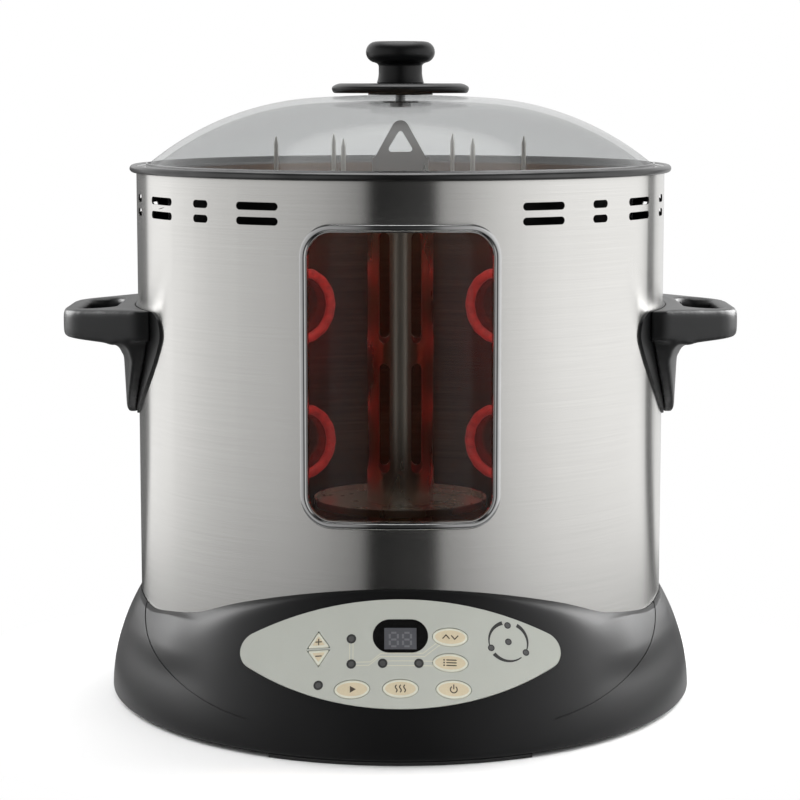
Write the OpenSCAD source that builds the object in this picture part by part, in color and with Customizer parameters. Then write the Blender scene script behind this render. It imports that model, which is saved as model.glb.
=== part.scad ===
// Countertop vertical electric grill: a round steel oven drum on a plastic base, with a
// lift-off glass lid, a turning spit driven from below, wall heaters and a control panel.
// Millimetres. The drum stands on the Z axis; the front, with window and panel, faces -Y.

/* [Drum] */
// Outer diameter of the steel drum
drum_d = 360; // [350:1:370]
// Height of the drum's top edge above the table
drum_top = 356.5; // [350:0.5:366]
// Thickness of the drum's steel sheet
sheet = 1.2; // [0.8:0.1:1.6]
// Air gap between the drum and the inner liner
air_gap = 19.8; // [18:0.2:22]
// Radius of the rolled bead on the rim ring
bead_r = 2.5; // [2:0.1:3]

/* [Lid] */
// Height of the glass dome above its seat
lid_rise = 51; // [46:0.5:58]
// Thickness of the lid glass
lid_glass_t = 4; // [3:0.5:5]
// Diameter of the knob's head
knob_d = 47; // [42:1:52]
// Height of the knob above its guard disc
knob_h = 28.4; // [26:0.2:32]
// Diameter of the guard disc under the knob
guard_d = 93.6; // [84:0.2:100]

/* [Window] */
// Width of the window bezel
window_w = 126.5; // [110:0.5:134]
// Height of the window bezel
window_h = 190.8; // [170:0.2:196]
// Height of the bezel's lower edge above the table
window_z = 138.7; // [134:0.1:142]
// Corner radius of the bezel
window_r = 21; // [16:0.5:26]

/* [Vents] */
// Height of one vent slot
vent_h = 5; // [4:0.5:6]
// Length of the long vent slots
vent_long = 31; // [24:1:36]
// Length of the short vent slots
vent_short = 14; // [10:1:18]

/* [Handles] */
// Reach of each handle beyond the drum
handle_reach = 49; // [46:1:56]
// Height of the top of the handles above the table
handle_top = 266; // [250:1:280]
// Width of the finger gap inside each handle
finger_gap = 25.5; // [23:0.5:28]

/* [Base] */
// Height of the base's collar round the drum
base_h = 69.5; // [68:0.5:74]
// How far the base spreads beyond the drum at the sides and rear
side_flare = 20; // [16:0.5:24]
// How far the base reaches beyond the drum at the front
front_flare = 46.5; // [44:0.5:52]
// Height of the top of the control console
console_top = 101; // [98:0.5:106]
// Wall thickness of the base housing
base_wall = 3.4; // [3:0.1:4]

/* [Panel] */
// Width of the lens-shaped control panel
panel_w = 212; // [204:1:216]
// Width of an oval key
key_w = 22; // [18:0.5:24]
// Height of an oval key
key_h = 11.6; // [9:0.2:12]
// Travel of the keys
key_travel = 1; // [0.6:0.1:1.2]

/* [Drive] */
// Tooth module of the drive gears
gear_m = 2; // [1.6:0.1:2.2]
// Teeth on the turntable gear
gear_teeth = 60; // [48:4:60]
// Teeth on the motor pinion
pinion_teeth = 14; // [12:1:16]

/* [Spit] */
// Diameter of the slotted spit tube
spit_d = 46; // [42:1:50]
// Diameter of the turntable
turntable_d = 220; // [200:2:236]
// Radius of the circle of crown pins
crown_r = 85; // [70:1:95]
// Top of the triangular lifting lug above the table
lug_top = 390.3; // [384:0.1:392]

/* [Heaters] */
// Diameter of the tubular wall heaters
heater_d = 7; // [6:0.5:8]
// Spacing between the heater runs
heater_pitch = 51; // [46:1:52]
// Height of the lowest heater run
heater_z = 124; // [120:1:132]

/* [Hidden] */
$fn = 96;
eps = 0.01;
far = 800;
slide_gap = 0.3;
fixed_gap = 0.02;
run_gap = 0.06;

// Drum, base and axis
drum_r = drum_d / 2;
side_r = drum_r + side_flare;
front_r = drum_r + front_flare;
axis_y = (front_r - side_r) / 2;
foot_h = 4;
foot_half = 82;
rear_foot_r = 12;
rear_foot_at = [100, 140];
skirt_z = 2.5;
plate_t = 2;
plate_top = foot_h + plate_t;
deck_t = 3;
deck_z = base_h - 6.5;
deck_low = deck_z - deck_t;
chassis_t = 1.5;
chassis_top = deck_z + chassis_t;
collar_gap = 0.3;
drum_flange = 14;
collar_r = drum_r + collar_gap;
rear_wall_r = collar_r + 3;
deck_hole_r = drum_r - 30;

// Console: a straight leaning face above the knee, running out to the floor below it
knee_z = 28;
knee_drop = 8.5;
console_lip = 1.6;
console_r = drum_r - 3;
lean = (front_flare - knee_drop - console_lip) / (console_top - knee_z);
panel_tilt = atan(lean);
knee_bow = (lean * (knee_z - skirt_z) - knee_drop) / pow(knee_z - skirt_z, 2);
roof_r = 1.32 * drum_r;
roof_pitch = 16.7;
side_power = 2;
front_power = 1.5;
skirt_steps = 6;
console_levels = [skirt_z, 10, 19, knee_z, console_top + 8];

function skirt_reach(level, flare, power) =
    drum_r + 0.5 + (flare - 0.5) * (1 - pow(level, power));
function console_front(z) =
    front_r - knee_drop + lean * (knee_z - z)
    - (z < knee_z ? knee_bow * pow(knee_z - z, 2) : 0);
function skirt_ring(level, z, inset, count) =
    let (side = skirt_reach(level, side_flare, side_power) - inset,
         front = skirt_reach(level, front_flare, front_power) - inset)
    [for (i = [0 : count - 1]) let (a = 360 * i / count)
        [side * cos(a), (sin(a) < 0 ? front : side) * sin(a), z]];
function console_ring(z, inset, count) =
    let (r = console_r - inset, y = console_r - console_front(z))
    [for (i = [0 : count - 1]) let (a = 360 * i / count) [r * cos(a), y + r * sin(a), z]];

// Panel frame: origin on the console face, x across, y up the slope, z outwards
panel_z = 64.5;
panel_y = -console_front(panel_z);
panel_face_r = console_r / cos(panel_tilt);
panel_rise = 0.4;
panel_back = 2;
panel_top_v = 34.5;
panel_end_v = 11;
panel_low_v = -35;
panel_end_r = 12;
panel_seat = 4;
key_back = 3.2;
dome_z = key_back + key_travel + 0.1;
circuit_front = dome_z + 0.7;
circuit_back = circuit_front + 1;
circuit_w = 132;
circuit_h = 52;
circuit_v = -4;
dome_r = 2.6;
key_rise = 0.6;
key_rim = 1.2;
arrow_w = 13.8;
arrow_h = 10.2;
arrow_rim = 0.6;
display_w = 34.4;
display_h = 21.2;
display_at = [0, 11.1];
led_w = 20;
led_h = 14.4;
led_at = [0, 9.4];
key_places = [[-51, 10.2], [-51, -1.6], [31, 10.9], [31, -5.4],
    [-30, -22.2], [0, -22.2], [33, -22.2]];
light_r = 1.7;
light_places = [[-30.5, 9.8], [-30.5, -6.2], [-11, -6.2], [11.5, -6.2], [-51, -18.7]];
post_places = [[-62, -8], [-22.5, 19.2], [22.5, 19.2], [62, -8], [-15, -24], [16.6, -24]];
post_r = 2.2;

// Liner, rim and lid
liner_t = 1;
liner_r = drum_r - sheet - air_gap - liner_t;
liner_out = liner_r + liner_t;
liner_floor = chassis_top + 13.5;
liner_deck = liner_floor + liner_t;
flange_t = 1.2;
rim_web = 1.5;
rim_in = drum_r - 6;
bead_z = drum_top + 1.7;
lid_r = rim_in - 0.4;
lid_band_t = 1;
lid_shelf_t = 1.2;
glass_r = lid_r - lid_band_t - 0.1;
glass_low = drum_top + lid_shelf_t;
apex_z = drum_top + lid_rise;
crown_span = drum_r / 3;
crown_dome_r = 5 * drum_r;
crown_angle = asin(crown_span / crown_dome_r);
crown_edge_z = apex_z - crown_dome_r + sqrt(pow(crown_dome_r, 2) - pow(crown_span, 2));
glass_edge_z = drum_top + 3.9;
edge_step = [glass_r - crown_span, glass_edge_z - crown_edge_z];
shoulder_r = -(edge_step * edge_step)
    / (2 * (edge_step[0] * sin(crown_angle) + edge_step[1] * cos(crown_angle)));
shoulder_at = [crown_span - shoulder_r * sin(crown_angle),
               crown_edge_z - shoulder_r * cos(crown_angle)];
washer_t = 1.2;
guard_t = 6.6;
guard_z = apex_z + washer_t;
knob_z = guard_z + guard_t;
knob_r = knob_d / 2;
stem_r = 15;
head_t = 15;
screw_r = 3;
screw_seat = apex_z - lid_glass_t - 0.1 - washer_t;

// Window layers, from the drum outwards
seal_t = 0.9;
window_glass_t = 2.4;
bezel_lip = 1.1;
bezel_frame = 5.2;
glass_tuck = 3;
seal_out = drum_r + seal_t;
glass_out = seal_out + window_glass_t;
bezel_out = glass_out + bezel_lip;
window_mid = window_z + window_h / 2;
inner_glass_t = 3;
inner_window_w = window_w + 2;
inner_window_h = window_h + 6;

// Vent rows
vent_rows = [drum_top - 17.2, drum_top - 26.5];
long_angles = [30 : 30 : 330];
short_angles = [45 : 30 : 315];

// Handles
shield_t = 1.6;
shield_h = 77;
shield_w = 95;
shield_round = 14;
grip_seat_r = drum_r + shield_t + 0.1;
grip_w = 76;
grip_h = 76;
grip_t = 20;
leg_low = 8;
leg_high = 11;
leg_fillet = 12;
bar_t = 15.5;
bar_r = 28;
bar_drop = 2;
bar_half = 26;
gap_start = 13;
gap_half = 40;
handle_screws_at = [[-15, -14], [15, -14], [0, -52]];
handle_screw_r = 2;

// Drive
gear_h = 8;
thrust_t = 1.5;
bush_h = 3.5;
gear_z = chassis_top + thrust_t;
gear_r = gear_m * gear_teeth / 2;
pinion_r = gear_m * pinion_teeth / 2;
gear_backlash = 0.3;
gear_gap = gear_r + pinion_r + gear_backlash;
motor_angle = 60;
motor_at = gear_gap * [cos(motor_angle), sin(motor_angle)];
hub_r = 16;
hub_bore_r = 12;
hub_low = chassis_top - 3.5;
hub_flange_r = 26;
hub_flange_t = 4;
bush_wall = 4;
bush_flange = 8;
table_z = liner_deck + 16;
table_t = 2;
table_lip = 7;
motor_shaft_r = 4;
motor_r = 26;
motor_case_h = 14;
motor_can_h = 15;
motor_ear = 31;

// Spit and centre heater
spit_r = spit_d / 2;
spit_wall = 1.2;
spit_low = table_z + table_t;
spit_top = drum_top - 11.5;
spit_flange_r = spit_r + 9;
spit_flange_t = 1.5;
slot_w = 9;
slot_l = 76;
slot_count = 6;
slot_low = 62;
slot_pitch = 90;
plate_z = table_z + 30;
plate_r = 60;
dish_t = 2;
dish_rim = 3;
crown_z = spit_top - 7;
crown_t = 3;
crown_band = 4;
spoke_w = 7;
crown_turn = 4;
crown_count = 6;
pin_r = 1.5;
pin_tip = 5;
pin_top = drum_top + 23;
cap_t = 3;
lug_t = 3;
lug_half = 19.2;
lug_eave = 25.3;
lug_tip_r = 6;
rod_r = 5.5;
rod_top = spit_top - 25;
holder_r = 15;
holder_h = 9;
holder_z = hub_low - holder_h - 3;
bracket_t = 2;
bracket_half = 34;

// Wall heaters
heater_r = heater_d / 2;
heater_at = liner_r - 10;
heater_from = -20;
heater_to = 60;
bend_r = heater_pitch / 2;
tail_bend = 8;
tail_end = drum_r - 9;
clip_angles = [0, 40];
clip_w = 12;
clip_t = 2;
clip_rest_h = 12;
clip_end = 8;
bushing_r = 7;

// Tray, posts, board and inlet
tray_r = liner_r - 8;
tray_hole_r = 30;
tray_h = 12;
tray_t = 1;
liner_post_at = 130;
liner_post_r = 5;
board_size = [120, 70, 1.6];
board_y = -148;
board_z = plate_top + 12;
board_post_r = 4;
board_blocks = [[-42, -14, 30, 26, 22], [0, -8, 19, 15, 15], [22, -8, 19, 15, 15]];
capacitor_at = [14, 22];
capacitor_r = 6;
capacitor_h = 16;
boss_at = drum_r - 15;
deck_screw_at = boss_at - 8;
boss_r = 6;
screw_head_r = 3.6;
pilot_r = 1.6;
clear_r = 2.1;
inlet_z = 30;
inlet_y = side_r - 13;
inlet_w = 36;
inlet_h = 22;
inlet_depth = 22;
inlet_wall = 3;
inlet_flange = 2.5;
inlet_pin = [2, 4, 15];
inlet_pin_places = [[-7, 2], [0, -2], [7, 2]];

// Helpers

// Places children on the drum's axis, so the origin lies under the middle of the outline
module on_axis() {
    translate([0, axis_y, 0]) children();
}

// Places children in the panel's frame
module on_panel() {
    on_axis() translate([0, panel_y, panel_z]) rotate([90 - panel_tilt, 0, 0]) children();
}

// Cylinder along the panel's slope, its front line lying out by the given height
module panel_round(out) {
    translate([0, 0, -panel_face_r]) rotate([90, 0, 0])
        cylinder(r = panel_face_r + out, h = far, center = true, $fn = 180);
}

// Part of an outline's prism between two heights of the panel's rounded face
module panel_layer(low, high) {
    difference() {
        intersection() {
            translate([0, 0, -40]) linear_extrude(80) children();
            panel_round(high);
        }
        panel_round(low);
    }
}

// Solid skin over equal rings of points, from the lowest to the highest
module loft(rings) {
    count = len(rings[0]);
    last = len(rings) - 1;
    polyhedron(
        points = [for (ring = rings) each ring],
        faces = concat(
            [[for (i = [0 : count - 1]) i]],
            [for (k = [0 : last - 1], i = [0 : count - 1]) let (j = (i + 1) % count)
                [k * count + i, (k + 1) * count + j, k * count + j]],
            [for (k = [0 : last - 1], i = [0 : count - 1]) let (j = (i + 1) % count)
                [k * count + i, (k + 1) * count + i, (k + 1) * count + j]],
            [[for (i = [count - 1 : -1 : 0]) last * count + i]]));
}

// Rounded rectangle outline
module round_rect(w, h, r) {
    square([w - 2 * r, h], center = true);
    square([w, h - 2 * r], center = true);
    for (x = [-1, 1], y = [-1, 1]) translate([x * (w / 2 - r), y * (h / 2 - r)]) circle(r);
}

// Slot outline with round ends, length along x
module slot(length, width) {
    square([length - width, width], center = true);
    for (x = [-1, 1]) translate([x * (length - width) / 2, 0]) circle(width / 2, $fn = 24);
}

// Ellipse outline
module oval(w, h) {
    polygon([for (i = [0 : 39]) [w / 2 * cos(9 * i), h / 2 * sin(9 * i)]]);
}

// Tube along Z
module ring(outer, inner, low, high) {
    translate([0, 0, low]) difference() {
        cylinder(r = outer, h = high - low);
        translate([0, 0, -eps]) cylinder(r = inner, h = high - low + 2 * eps);
    }
}

// Upright rod from one height to another
module rod(r, low, high) {
    translate([0, 0, low]) cylinder(r = r, h = high - low);
}

// Outline on the front of the drum, cut through a shell between two radii
module front_shell(inner, outer, z) {
    intersection() {
        ring(outer, inner, 0, far);
        translate([0, 0, z]) rotate([90, 0, 0]) linear_extrude(far) children();
    }
}

// Screw with a round head, its head seat at the origin, the shank running down
module screw(r, length, head_r, head_h) {
    cylinder(r = head_r, h = head_h, $fn = 24);
    translate([0, 0, -length]) cylinder(r = r, h = length, $fn = 24);
}

// Base

// Skirt body with its wall drawn in, cut off at the given height
module skirt_body(inset, top, count) {
    low = inset > 0 ? skirt_z - 1 : skirt_z;
    loft([for (k = [0 : skirt_steps]) let (z = low + (top - low) * k / skirt_steps)
        skirt_ring(max(0, z - skirt_z) / (base_h - skirt_z), z, inset, count)]);
}

// Console body with its wall drawn in, under the arched roof
module console_body(inset, count) {
    intersection() {
        loft([for (z = console_levels)
            console_ring(z == skirt_z && inset > 0 ? z - 1 : z, inset, count)]);
        translate([0, -drum_r - 0.5, console_top - inset]) rotate([roof_pitch, 0, 0])
            translate([0, 0, -roof_r]) rotate([90, 0, 0])
                cylinder(r = roof_r, h = far, center = true, $fn = 180);
    }
}

// Places children at the four screw posts of the base
module at_bosses() {
    for (a = [45 : 90 : 315]) rotate(a) translate([boss_at, 0, 0]) children();
}

module panel_outline(inset) {
    rise = panel_top_v - panel_end_v;
    sink = panel_end_v - panel_low_v;
    half = panel_w / 2 + 6;
    top_r = (half * half + rise * rise) / (2 * rise);
    low_r = (half * half + sink * sink) / (2 * sink);
    offset(delta = -inset) offset(r = panel_end_r) offset(delta = -panel_end_r)
        intersection() {
            translate([0, panel_top_v - top_r]) circle(top_r, $fn = 240);
            translate([0, panel_low_v + low_r]) circle(low_r, $fn = 240);
        }
}

module base_housing() {
    color("#2b2b2d") difference() {
        union() {
            on_axis() difference() {
                union() {
                    skirt_body(0, base_h, 96);
                    console_body(0, 120);
                }
                difference() {
                    union() {
                        skirt_body(base_wall, deck_low, 48);
                        console_body(base_wall, 48);
                    }
                    translate([0, 0, deck_low]) cylinder(r = rear_wall_r, h = far);
                }
                rod(collar_r, deck_z, far);
                rod(deck_hole_r, skirt_z, far);
            }
            on_axis() at_bosses() rod(boss_r, plate_top, deck_low + eps);
            on_axis() intersection() {
                translate([-inlet_w / 2 - 6, inlet_y - 8, inlet_z - inlet_h / 2 - 6])
                    cube([inlet_w + 12, 40, inlet_h + 12]);
                skirt_body(1, base_h, 72);
            }
        }
        on_axis() at_bosses() rod(pilot_r, 0, deck_low - 10, $fn = 24);
        on_axis() for (a = [0 : 60 : 300]) rotate(a) translate([deck_screw_at, 0, 0])
            rod(pilot_r, deck_low - 1, deck_z + 1, $fn = 24);
        on_panel() panel_layer(-panel_back, 20) offset(delta = slide_gap) panel_outline(0);
        difference() {
            on_panel() panel_layer(-20, 20) {
                panel_outline(panel_seat);
                panel_holes(key_rim + 2 * slide_gap);
            }
            on_axis() rod(rear_wall_r, 0, far);
        }
        on_axis() translate([0, inlet_y, inlet_z]) rotate([-90, 0, 0]) {
            linear_extrude(40) square([inlet_w + 2, inlet_h + 2], center = true);
            translate([0, 0, -20]) linear_extrude(40)
                square([inlet_w - 6, inlet_h - 4], center = true);
        }
    }
}

module base_plate() {
    color("#3a3a3c") on_axis() translate([0, 0, foot_h]) difference() {
        linear_extrude(plate_t) floor_outline(base_wall + 1);
        translate([0, 0, -1]) {
            at_bosses() cylinder(r = clear_r, h = plate_t + 2, $fn = 24);
            for (x = [-40 : 20 : 40]) translate([x, 30, 0]) rotate(90)
                linear_extrude(plate_t + 2) slot(60, 6);
        }
    }
    color("#3a3a3c") on_axis() translate([0, board_y, 0]) at_board_posts() {
        rod(board_post_r, plate_top - eps, board_z);
        rod(pilot_r - 0.05, board_z - eps, board_z + board_size[2], $fn = 24);
    }
}

// Flat outline of the skirt's foot, drawn in by the inset
module floor_outline(inset) {
    polygon([for (p = skirt_ring(0, 0, inset, 96)) [p[0], p[1]]]);
}

// Bar under the front edge: a tread below the skirt and a heel up to the plate
module front_foot() {
    color("#1c1c1e") on_axis() intersection() {
        union() {
            linear_extrude(skirt_z - slide_gap) difference() {
                floor_outline(1);
                floor_outline(base_wall + 16);
            }
            linear_extrude(foot_h) difference() {
                floor_outline(base_wall + 2);
                floor_outline(base_wall + 16);
            }
        }
        translate([-foot_half, -far, -1]) cube([2 * foot_half, far - drum_r, foot_h + 2]);
    }
}

module rear_feet() {
    color("#1c1c1e") on_axis() for (x = [-1, 1])
        translate([x * rear_foot_at[0], rear_foot_at[1], 0])
            cylinder(r = rear_foot_r, h = foot_h);
}

module base_screws() {
    color("silver") on_axis() at_bosses() translate([0, 0, foot_h]) rotate([180, 0, 0])
        screw(pilot_r - 0.05, 14, screw_head_r, 1.2);
}

// Control panel

module control_panel() {
    color("#c3c6be") on_panel() {
        difference() {
            panel_layer(-panel_back, panel_rise) panel_outline(0);
            panel_layer(-20, 20) {
                panel_holes(slide_gap);
                translate(display_at) round_rect(display_w + 0.1, display_h + 0.1, display_h / 2);
                for (p = light_places) translate(p) circle(light_r + 0.05, $fn = 24);
            }
        }
        panel_layer(-circuit_front, -panel_back / 2) for (p = post_places)
            translate(p) circle(post_r, $fn = 24);
    }
}

// Outline of one key: an arrow for the first two, an oval for the rest
module key_outline(index, grow) {
    tip = index == 0 ? 1 : -1;
    if (index < 2) offset(delta = grow) polygon([[-arrow_w / 2, -tip * arrow_h / 2],
        [arrow_w / 2, -tip * arrow_h / 2], [0, tip * arrow_h / 2]]);
    else oval(key_w + 2 * grow, key_h + 2 * grow);
}

module panel_holes(grow) {
    for (i = [0 : len(key_places) - 1]) translate(key_places[i]) key_outline(i, grow);
}

module key(index) {
    color("#e4e2cf") on_panel() {
        panel_layer(-key_back, key_rise) translate(key_places[index]) key_outline(index, 0);
        panel_layer(-key_back, -panel_back - 0.2) translate(key_places[index])
            key_outline(index, index < 2 ? arrow_rim : key_rim);
    }
}

module key_up() { key(0); }
module key_down() { key(1); }
module key_level() { key(2); }
module key_function() { key(3); }
module key_start() { key(4); }
module key_center_heat() { key(5); }
module key_power() { key(6); }

module display_window() {
    color("#101012") on_panel() panel_layer(-panel_back, panel_rise + 0.1)
        translate(display_at) round_rect(display_w, display_h, display_h / 2 - 0.1);
}

module led_display() {
    color("#303030") on_panel() panel_layer(-circuit_front, -panel_back)
        translate(led_at) square([led_w, led_h], center = true);
}

module indicator_lights() {
    color("#f2efd8") on_panel() panel_layer(-circuit_front, panel_rise + 0.1)
        for (p = light_places) translate(p) circle(light_r, $fn = 24);
}

// Curved key circuit with a dome under each key
module key_circuit() {
    color("#3d5a3a") on_panel() {
        panel_layer(-circuit_back, -circuit_front) difference() {
            translate([0, circuit_v]) square([circuit_w, circuit_h], center = true);
            for (x = [-1, 1]) translate([x * circuit_w / 2, 28]) circle(22);
        }
        panel_layer(-circuit_front - eps, -dome_z)
            for (p = key_places) translate(p) circle(dome_r, $fn = 24);
    }
}

// Board with its transformer, two relays and a capacitor
module control_board() {
    color("#2f5d34") on_axis() translate([0, board_y, board_z]) {
        difference() {
            translate([-board_size[0] / 2, -board_size[1] / 2, 0]) cube(board_size);
            at_board_posts() translate([0, 0, -1]) cylinder(r = pilot_r, h = 4, $fn = 24);
        }
        translate([0, 0, board_size[2] - eps]) {
            for (b = board_blocks) translate([b[0], b[1], 0]) cube([b[2], b[3], b[4]]);
            translate(capacitor_at) cylinder(r = capacitor_r, h = capacitor_h);
        }
    }
}

module at_board_posts() {
    for (x = [-1, 1], y = [-1, 1])
        translate([x * (board_size[0] / 2 - 6), y * (board_size[1] / 2 - 6), 0]) children();
}

module power_inlet() {
    color("#18181a") on_axis() translate([0, inlet_y, inlet_z]) rotate([-90, 0, 0])
        difference() {
            union() {
                linear_extrude(inlet_flange) square([inlet_w, inlet_h], center = true);
                translate([0, 0, -inlet_depth]) linear_extrude(inlet_depth + eps)
                    square([inlet_w - 6.6, inlet_h - 4.6], center = true);
            }
            translate([0, 0, inlet_wall - inlet_depth]) linear_extrude(far)
                square([inlet_w - 12, inlet_h - 9], center = true);
        }
}

module inlet_pins() {
    color("silver") on_axis() translate([0, inlet_y, inlet_z]) rotate([-90, 0, 0])
        for (p = inlet_pin_places)
            translate([p[0] - inlet_pin[0] / 2, p[1] - inlet_pin[1] / 2, inlet_wall - inlet_depth])
                cube(inlet_pin);
}

module terminal_block() {
    color("#e6e2d8") on_axis() translate([-drum_r / 2, drum_r / 3, plate_top]) difference() {
        translate([-20, -9, 0]) cube([40, 18, 16]);
        for (x = [-12 : 8 : 12]) translate([x, 0, 6]) cylinder(r = 2.5, h = 20, $fn = 24);
    }
}

// Chassis and drive

module chassis_plate() {
    color("#a8abad") on_axis() difference() {
        rod(drum_r - 2, deck_z, chassis_top);
        rod(hub_r + bush_wall + fixed_gap, 0, far);
        translate(motor_at) rod(motor_shaft_r + 4, 0, far);
        at_motor_ears() rod(clear_r, 0, far, $fn = 24);
        for (a = [0 : 60 : 300]) rotate(a) translate([deck_screw_at, 0, 0])
            rod(clear_r, 0, far, $fn = 24);
    }
}

// Six screws into the deck and two that hold the motor
module chassis_screws() {
    color("silver") on_axis() translate([0, 0, chassis_top]) {
        for (a = [0 : 60 : 300]) rotate(a) translate([deck_screw_at, 0, 0])
            screw(pilot_r - 0.05, 4, screw_head_r, 1.4);
        at_motor_ears() screw(pilot_r - 0.05, 4, screw_head_r, 1.4);
    }
}

module at_motor_ears() {
    translate(motor_at) rotate(motor_angle) for (y = [-1, 1])
        translate([0, y * motor_ear, 0]) children();
}

module gear_motor() {
    color("#b9bcbe") on_axis() {
        translate(motor_at) difference() {
            union() {
                rod(motor_r, deck_z - motor_case_h, deck_z);
                rod(motor_r - 2, deck_z - motor_case_h - motor_can_h, deck_z - motor_case_h);
            }
            rod(motor_shaft_r + run_gap, deck_z - 10, far);
        }
        difference() {
            translate(motor_at) rotate(motor_angle) translate([-6, -motor_ear - 6, deck_z - 2])
                cube([12, 2 * motor_ear + 12, 2]);
            translate(motor_at) rod(motor_r - 1, 0, far);
            at_motor_ears() rod(pilot_r, 0, far, $fn = 24);
        }
    }
}

module motor_shaft() {
    color("silver") on_axis() translate(motor_at)
        rod(motor_shaft_r, deck_z - 9.9, gear_z + gear_h);
}

// Involute flank points on one side of a tooth, from the base circle to the tip
function involute(base_r, r) =
    let (a = acos(min(1, base_r / r))) tan(a) * 180 / PI - a;
function gear_outline(teeth) =
    let (pitch_r = gear_m * teeth / 2, base_r = pitch_r * cos(20),
         root_r = pitch_r - 1.25 * gear_m, tip_r = pitch_r + gear_m,
         half = 90 / teeth + involute(base_r, pitch_r) - 0.05 / pitch_r * 180 / PI,
         low_r = max(base_r, root_r),
         radii = [for (k = [0 : 4]) low_r + (tip_r - low_r) * k / 4])
    [for (i = [0 : teeth - 1]) let (mid = 360 * i / teeth) each concat(
        [[root_r, mid - half]],
        [for (r = radii) [r, mid - half + involute(base_r, r)]],
        [for (k = [4 : -1 : 0]) [radii[k], mid + half - involute(base_r, radii[k])]],
        [[root_r, mid + half]])];

module gear(teeth, bore) {
    linear_extrude(gear_h) difference() {
        polygon([for (p = gear_outline(teeth)) p[0] * [cos(p[1]), sin(p[1])]]);
        circle(bore);
    }
}

module motor_pinion() {
    color("#e8e0c8") on_axis() translate([motor_at[0], motor_at[1], gear_z])
        rotate(motor_angle + 180) gear(pinion_teeth, motor_shaft_r + fixed_gap);
}

module turntable_gear() {
    color("#e8e0c8") on_axis() translate([0, 0, gear_z])
        rotate(motor_angle + 180 / gear_teeth) difference() {
            gear(gear_teeth, hub_r + fixed_gap);
            for (a = [0 : 60 : 300]) rotate(a) translate([0.62 * gear_r, 0, -1])
                cylinder(r = 0.16 * gear_r, h = gear_h + 2);
        }
}

// Flanged bushes in the chassis and in the oven floor
module hub_bushes() {
    color("#b08d57") on_axis() for (z = [chassis_top, liner_deck]) {
        ring(hub_r + bush_flange, hub_r + run_gap, z, z + thrust_t);
        ring(hub_r + bush_wall, hub_r + run_gap, z - bush_h, z + eps);
    }
}

module turntable_hub() {
    color("#c9cbcc") on_axis() {
        ring(hub_r, hub_bore_r, hub_low, spit_low);
        ring(hub_flange_r, hub_bore_r, table_z - hub_flange_t, table_z);
    }
}

module turntable() {
    color("#8f9294") on_axis() {
        ring(turntable_d / 2, hub_r + fixed_gap, table_z, table_z + table_t);
        ring(turntable_d / 2, turntable_d / 2 - 1.5, table_z + table_t - eps,
            table_z + table_t + table_lip);
    }
}

// Spit

module spit_tube() {
    color("#c4c6c8") on_axis() {
        ring(spit_flange_r, spit_r - 1, spit_low, spit_low + spit_flange_t);
        difference() {
            ring(spit_r, spit_r - spit_wall, spit_low, spit_top);
            for (i = [0 : slot_count - 1], row = [0, 1]) rotate(360 * i / slot_count)
                translate([0, 0, plate_z + slot_low + row * slot_pitch]) rotate([0, 90, 0])
                    linear_extrude(far) slot(slot_l, slot_w);
        }
    }
}

module meat_plate() {
    color("#b7babc") on_axis() {
        ring(plate_r, spit_r + fixed_gap, plate_z, plate_z + dish_t);
        ring(spit_r + 4, spit_r + fixed_gap, plate_z - 6, plate_z + eps);
        ring(plate_r, plate_r - 1.5, plate_z + dish_t - eps, plate_z + dish_t + dish_rim);
    }
}

module spit_crown() {
    color("#c4c6c8") on_axis() {
        ring(crown_r + crown_band, crown_r - crown_band, crown_z, crown_z + crown_t);
        ring(spit_r + 4, spit_r + fixed_gap, crown_z - 5, crown_z + crown_t);
        for (i = [0 : 2]) rotate(crown_turn + 30 + 120 * i)
            translate([spit_r + 3, -spoke_w / 2, crown_z])
                cube([crown_r - spit_r - 6, spoke_w, crown_t]);
    }
}

module crown_pins() {
    color("#d0d2d4") on_axis() for (i = [0 : crown_count - 1])
        rotate(crown_turn + 360 * i / crown_count) translate([crown_r, 0, 0]) {
            rod(pin_r, crown_z + crown_t, pin_top - pin_tip, $fn = 24);
            translate([0, 0, pin_top - pin_tip])
                cylinder(r1 = pin_r, r2 = 0.3, h = pin_tip, $fn = 24);
        }
}

module spit_cap() {
    color("#c4c6c8") on_axis() {
        rod(spit_r + 1, spit_top, spit_top + cap_t);
        rod(spit_r - spit_wall - fixed_gap, spit_top - 8, spit_top + eps);
        translate([0, lug_t / 2, 0]) rotate([90, 0, 0]) linear_extrude(lug_t) difference() {
            union() {
                translate([-lug_half, spit_top + cap_t - eps])
                    square([2 * lug_half, lug_top - lug_eave - spit_top - cap_t]);
                hull() {
                    translate([0, lug_top - lug_tip_r]) circle(lug_tip_r, $fn = 32);
                    for (x = [-1, 1]) translate([x * (lug_half - 3), lug_top - lug_eave])
                        circle(1.2, $fn = 32);
                }
            }
            hull() {
                translate([0, lug_top - 9.5]) circle(2, $fn = 32);
                for (x = [-1, 1]) translate([x * 6, lug_top - 19.5]) circle(2, $fn = 32);
            }
        }
    }
}

module drip_tray() {
    color("#6e6a66") on_axis() {
        ring(tray_r, tray_hole_r, liner_deck, liner_deck + tray_t);
        ring(tray_r, tray_r - tray_t, liner_deck + tray_t - eps, liner_deck + tray_h);
        ring(tray_hole_r + tray_t, tray_hole_r, liner_deck + tray_t - eps, liner_deck + tray_h - 3);
    }
}

// Oven

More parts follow.
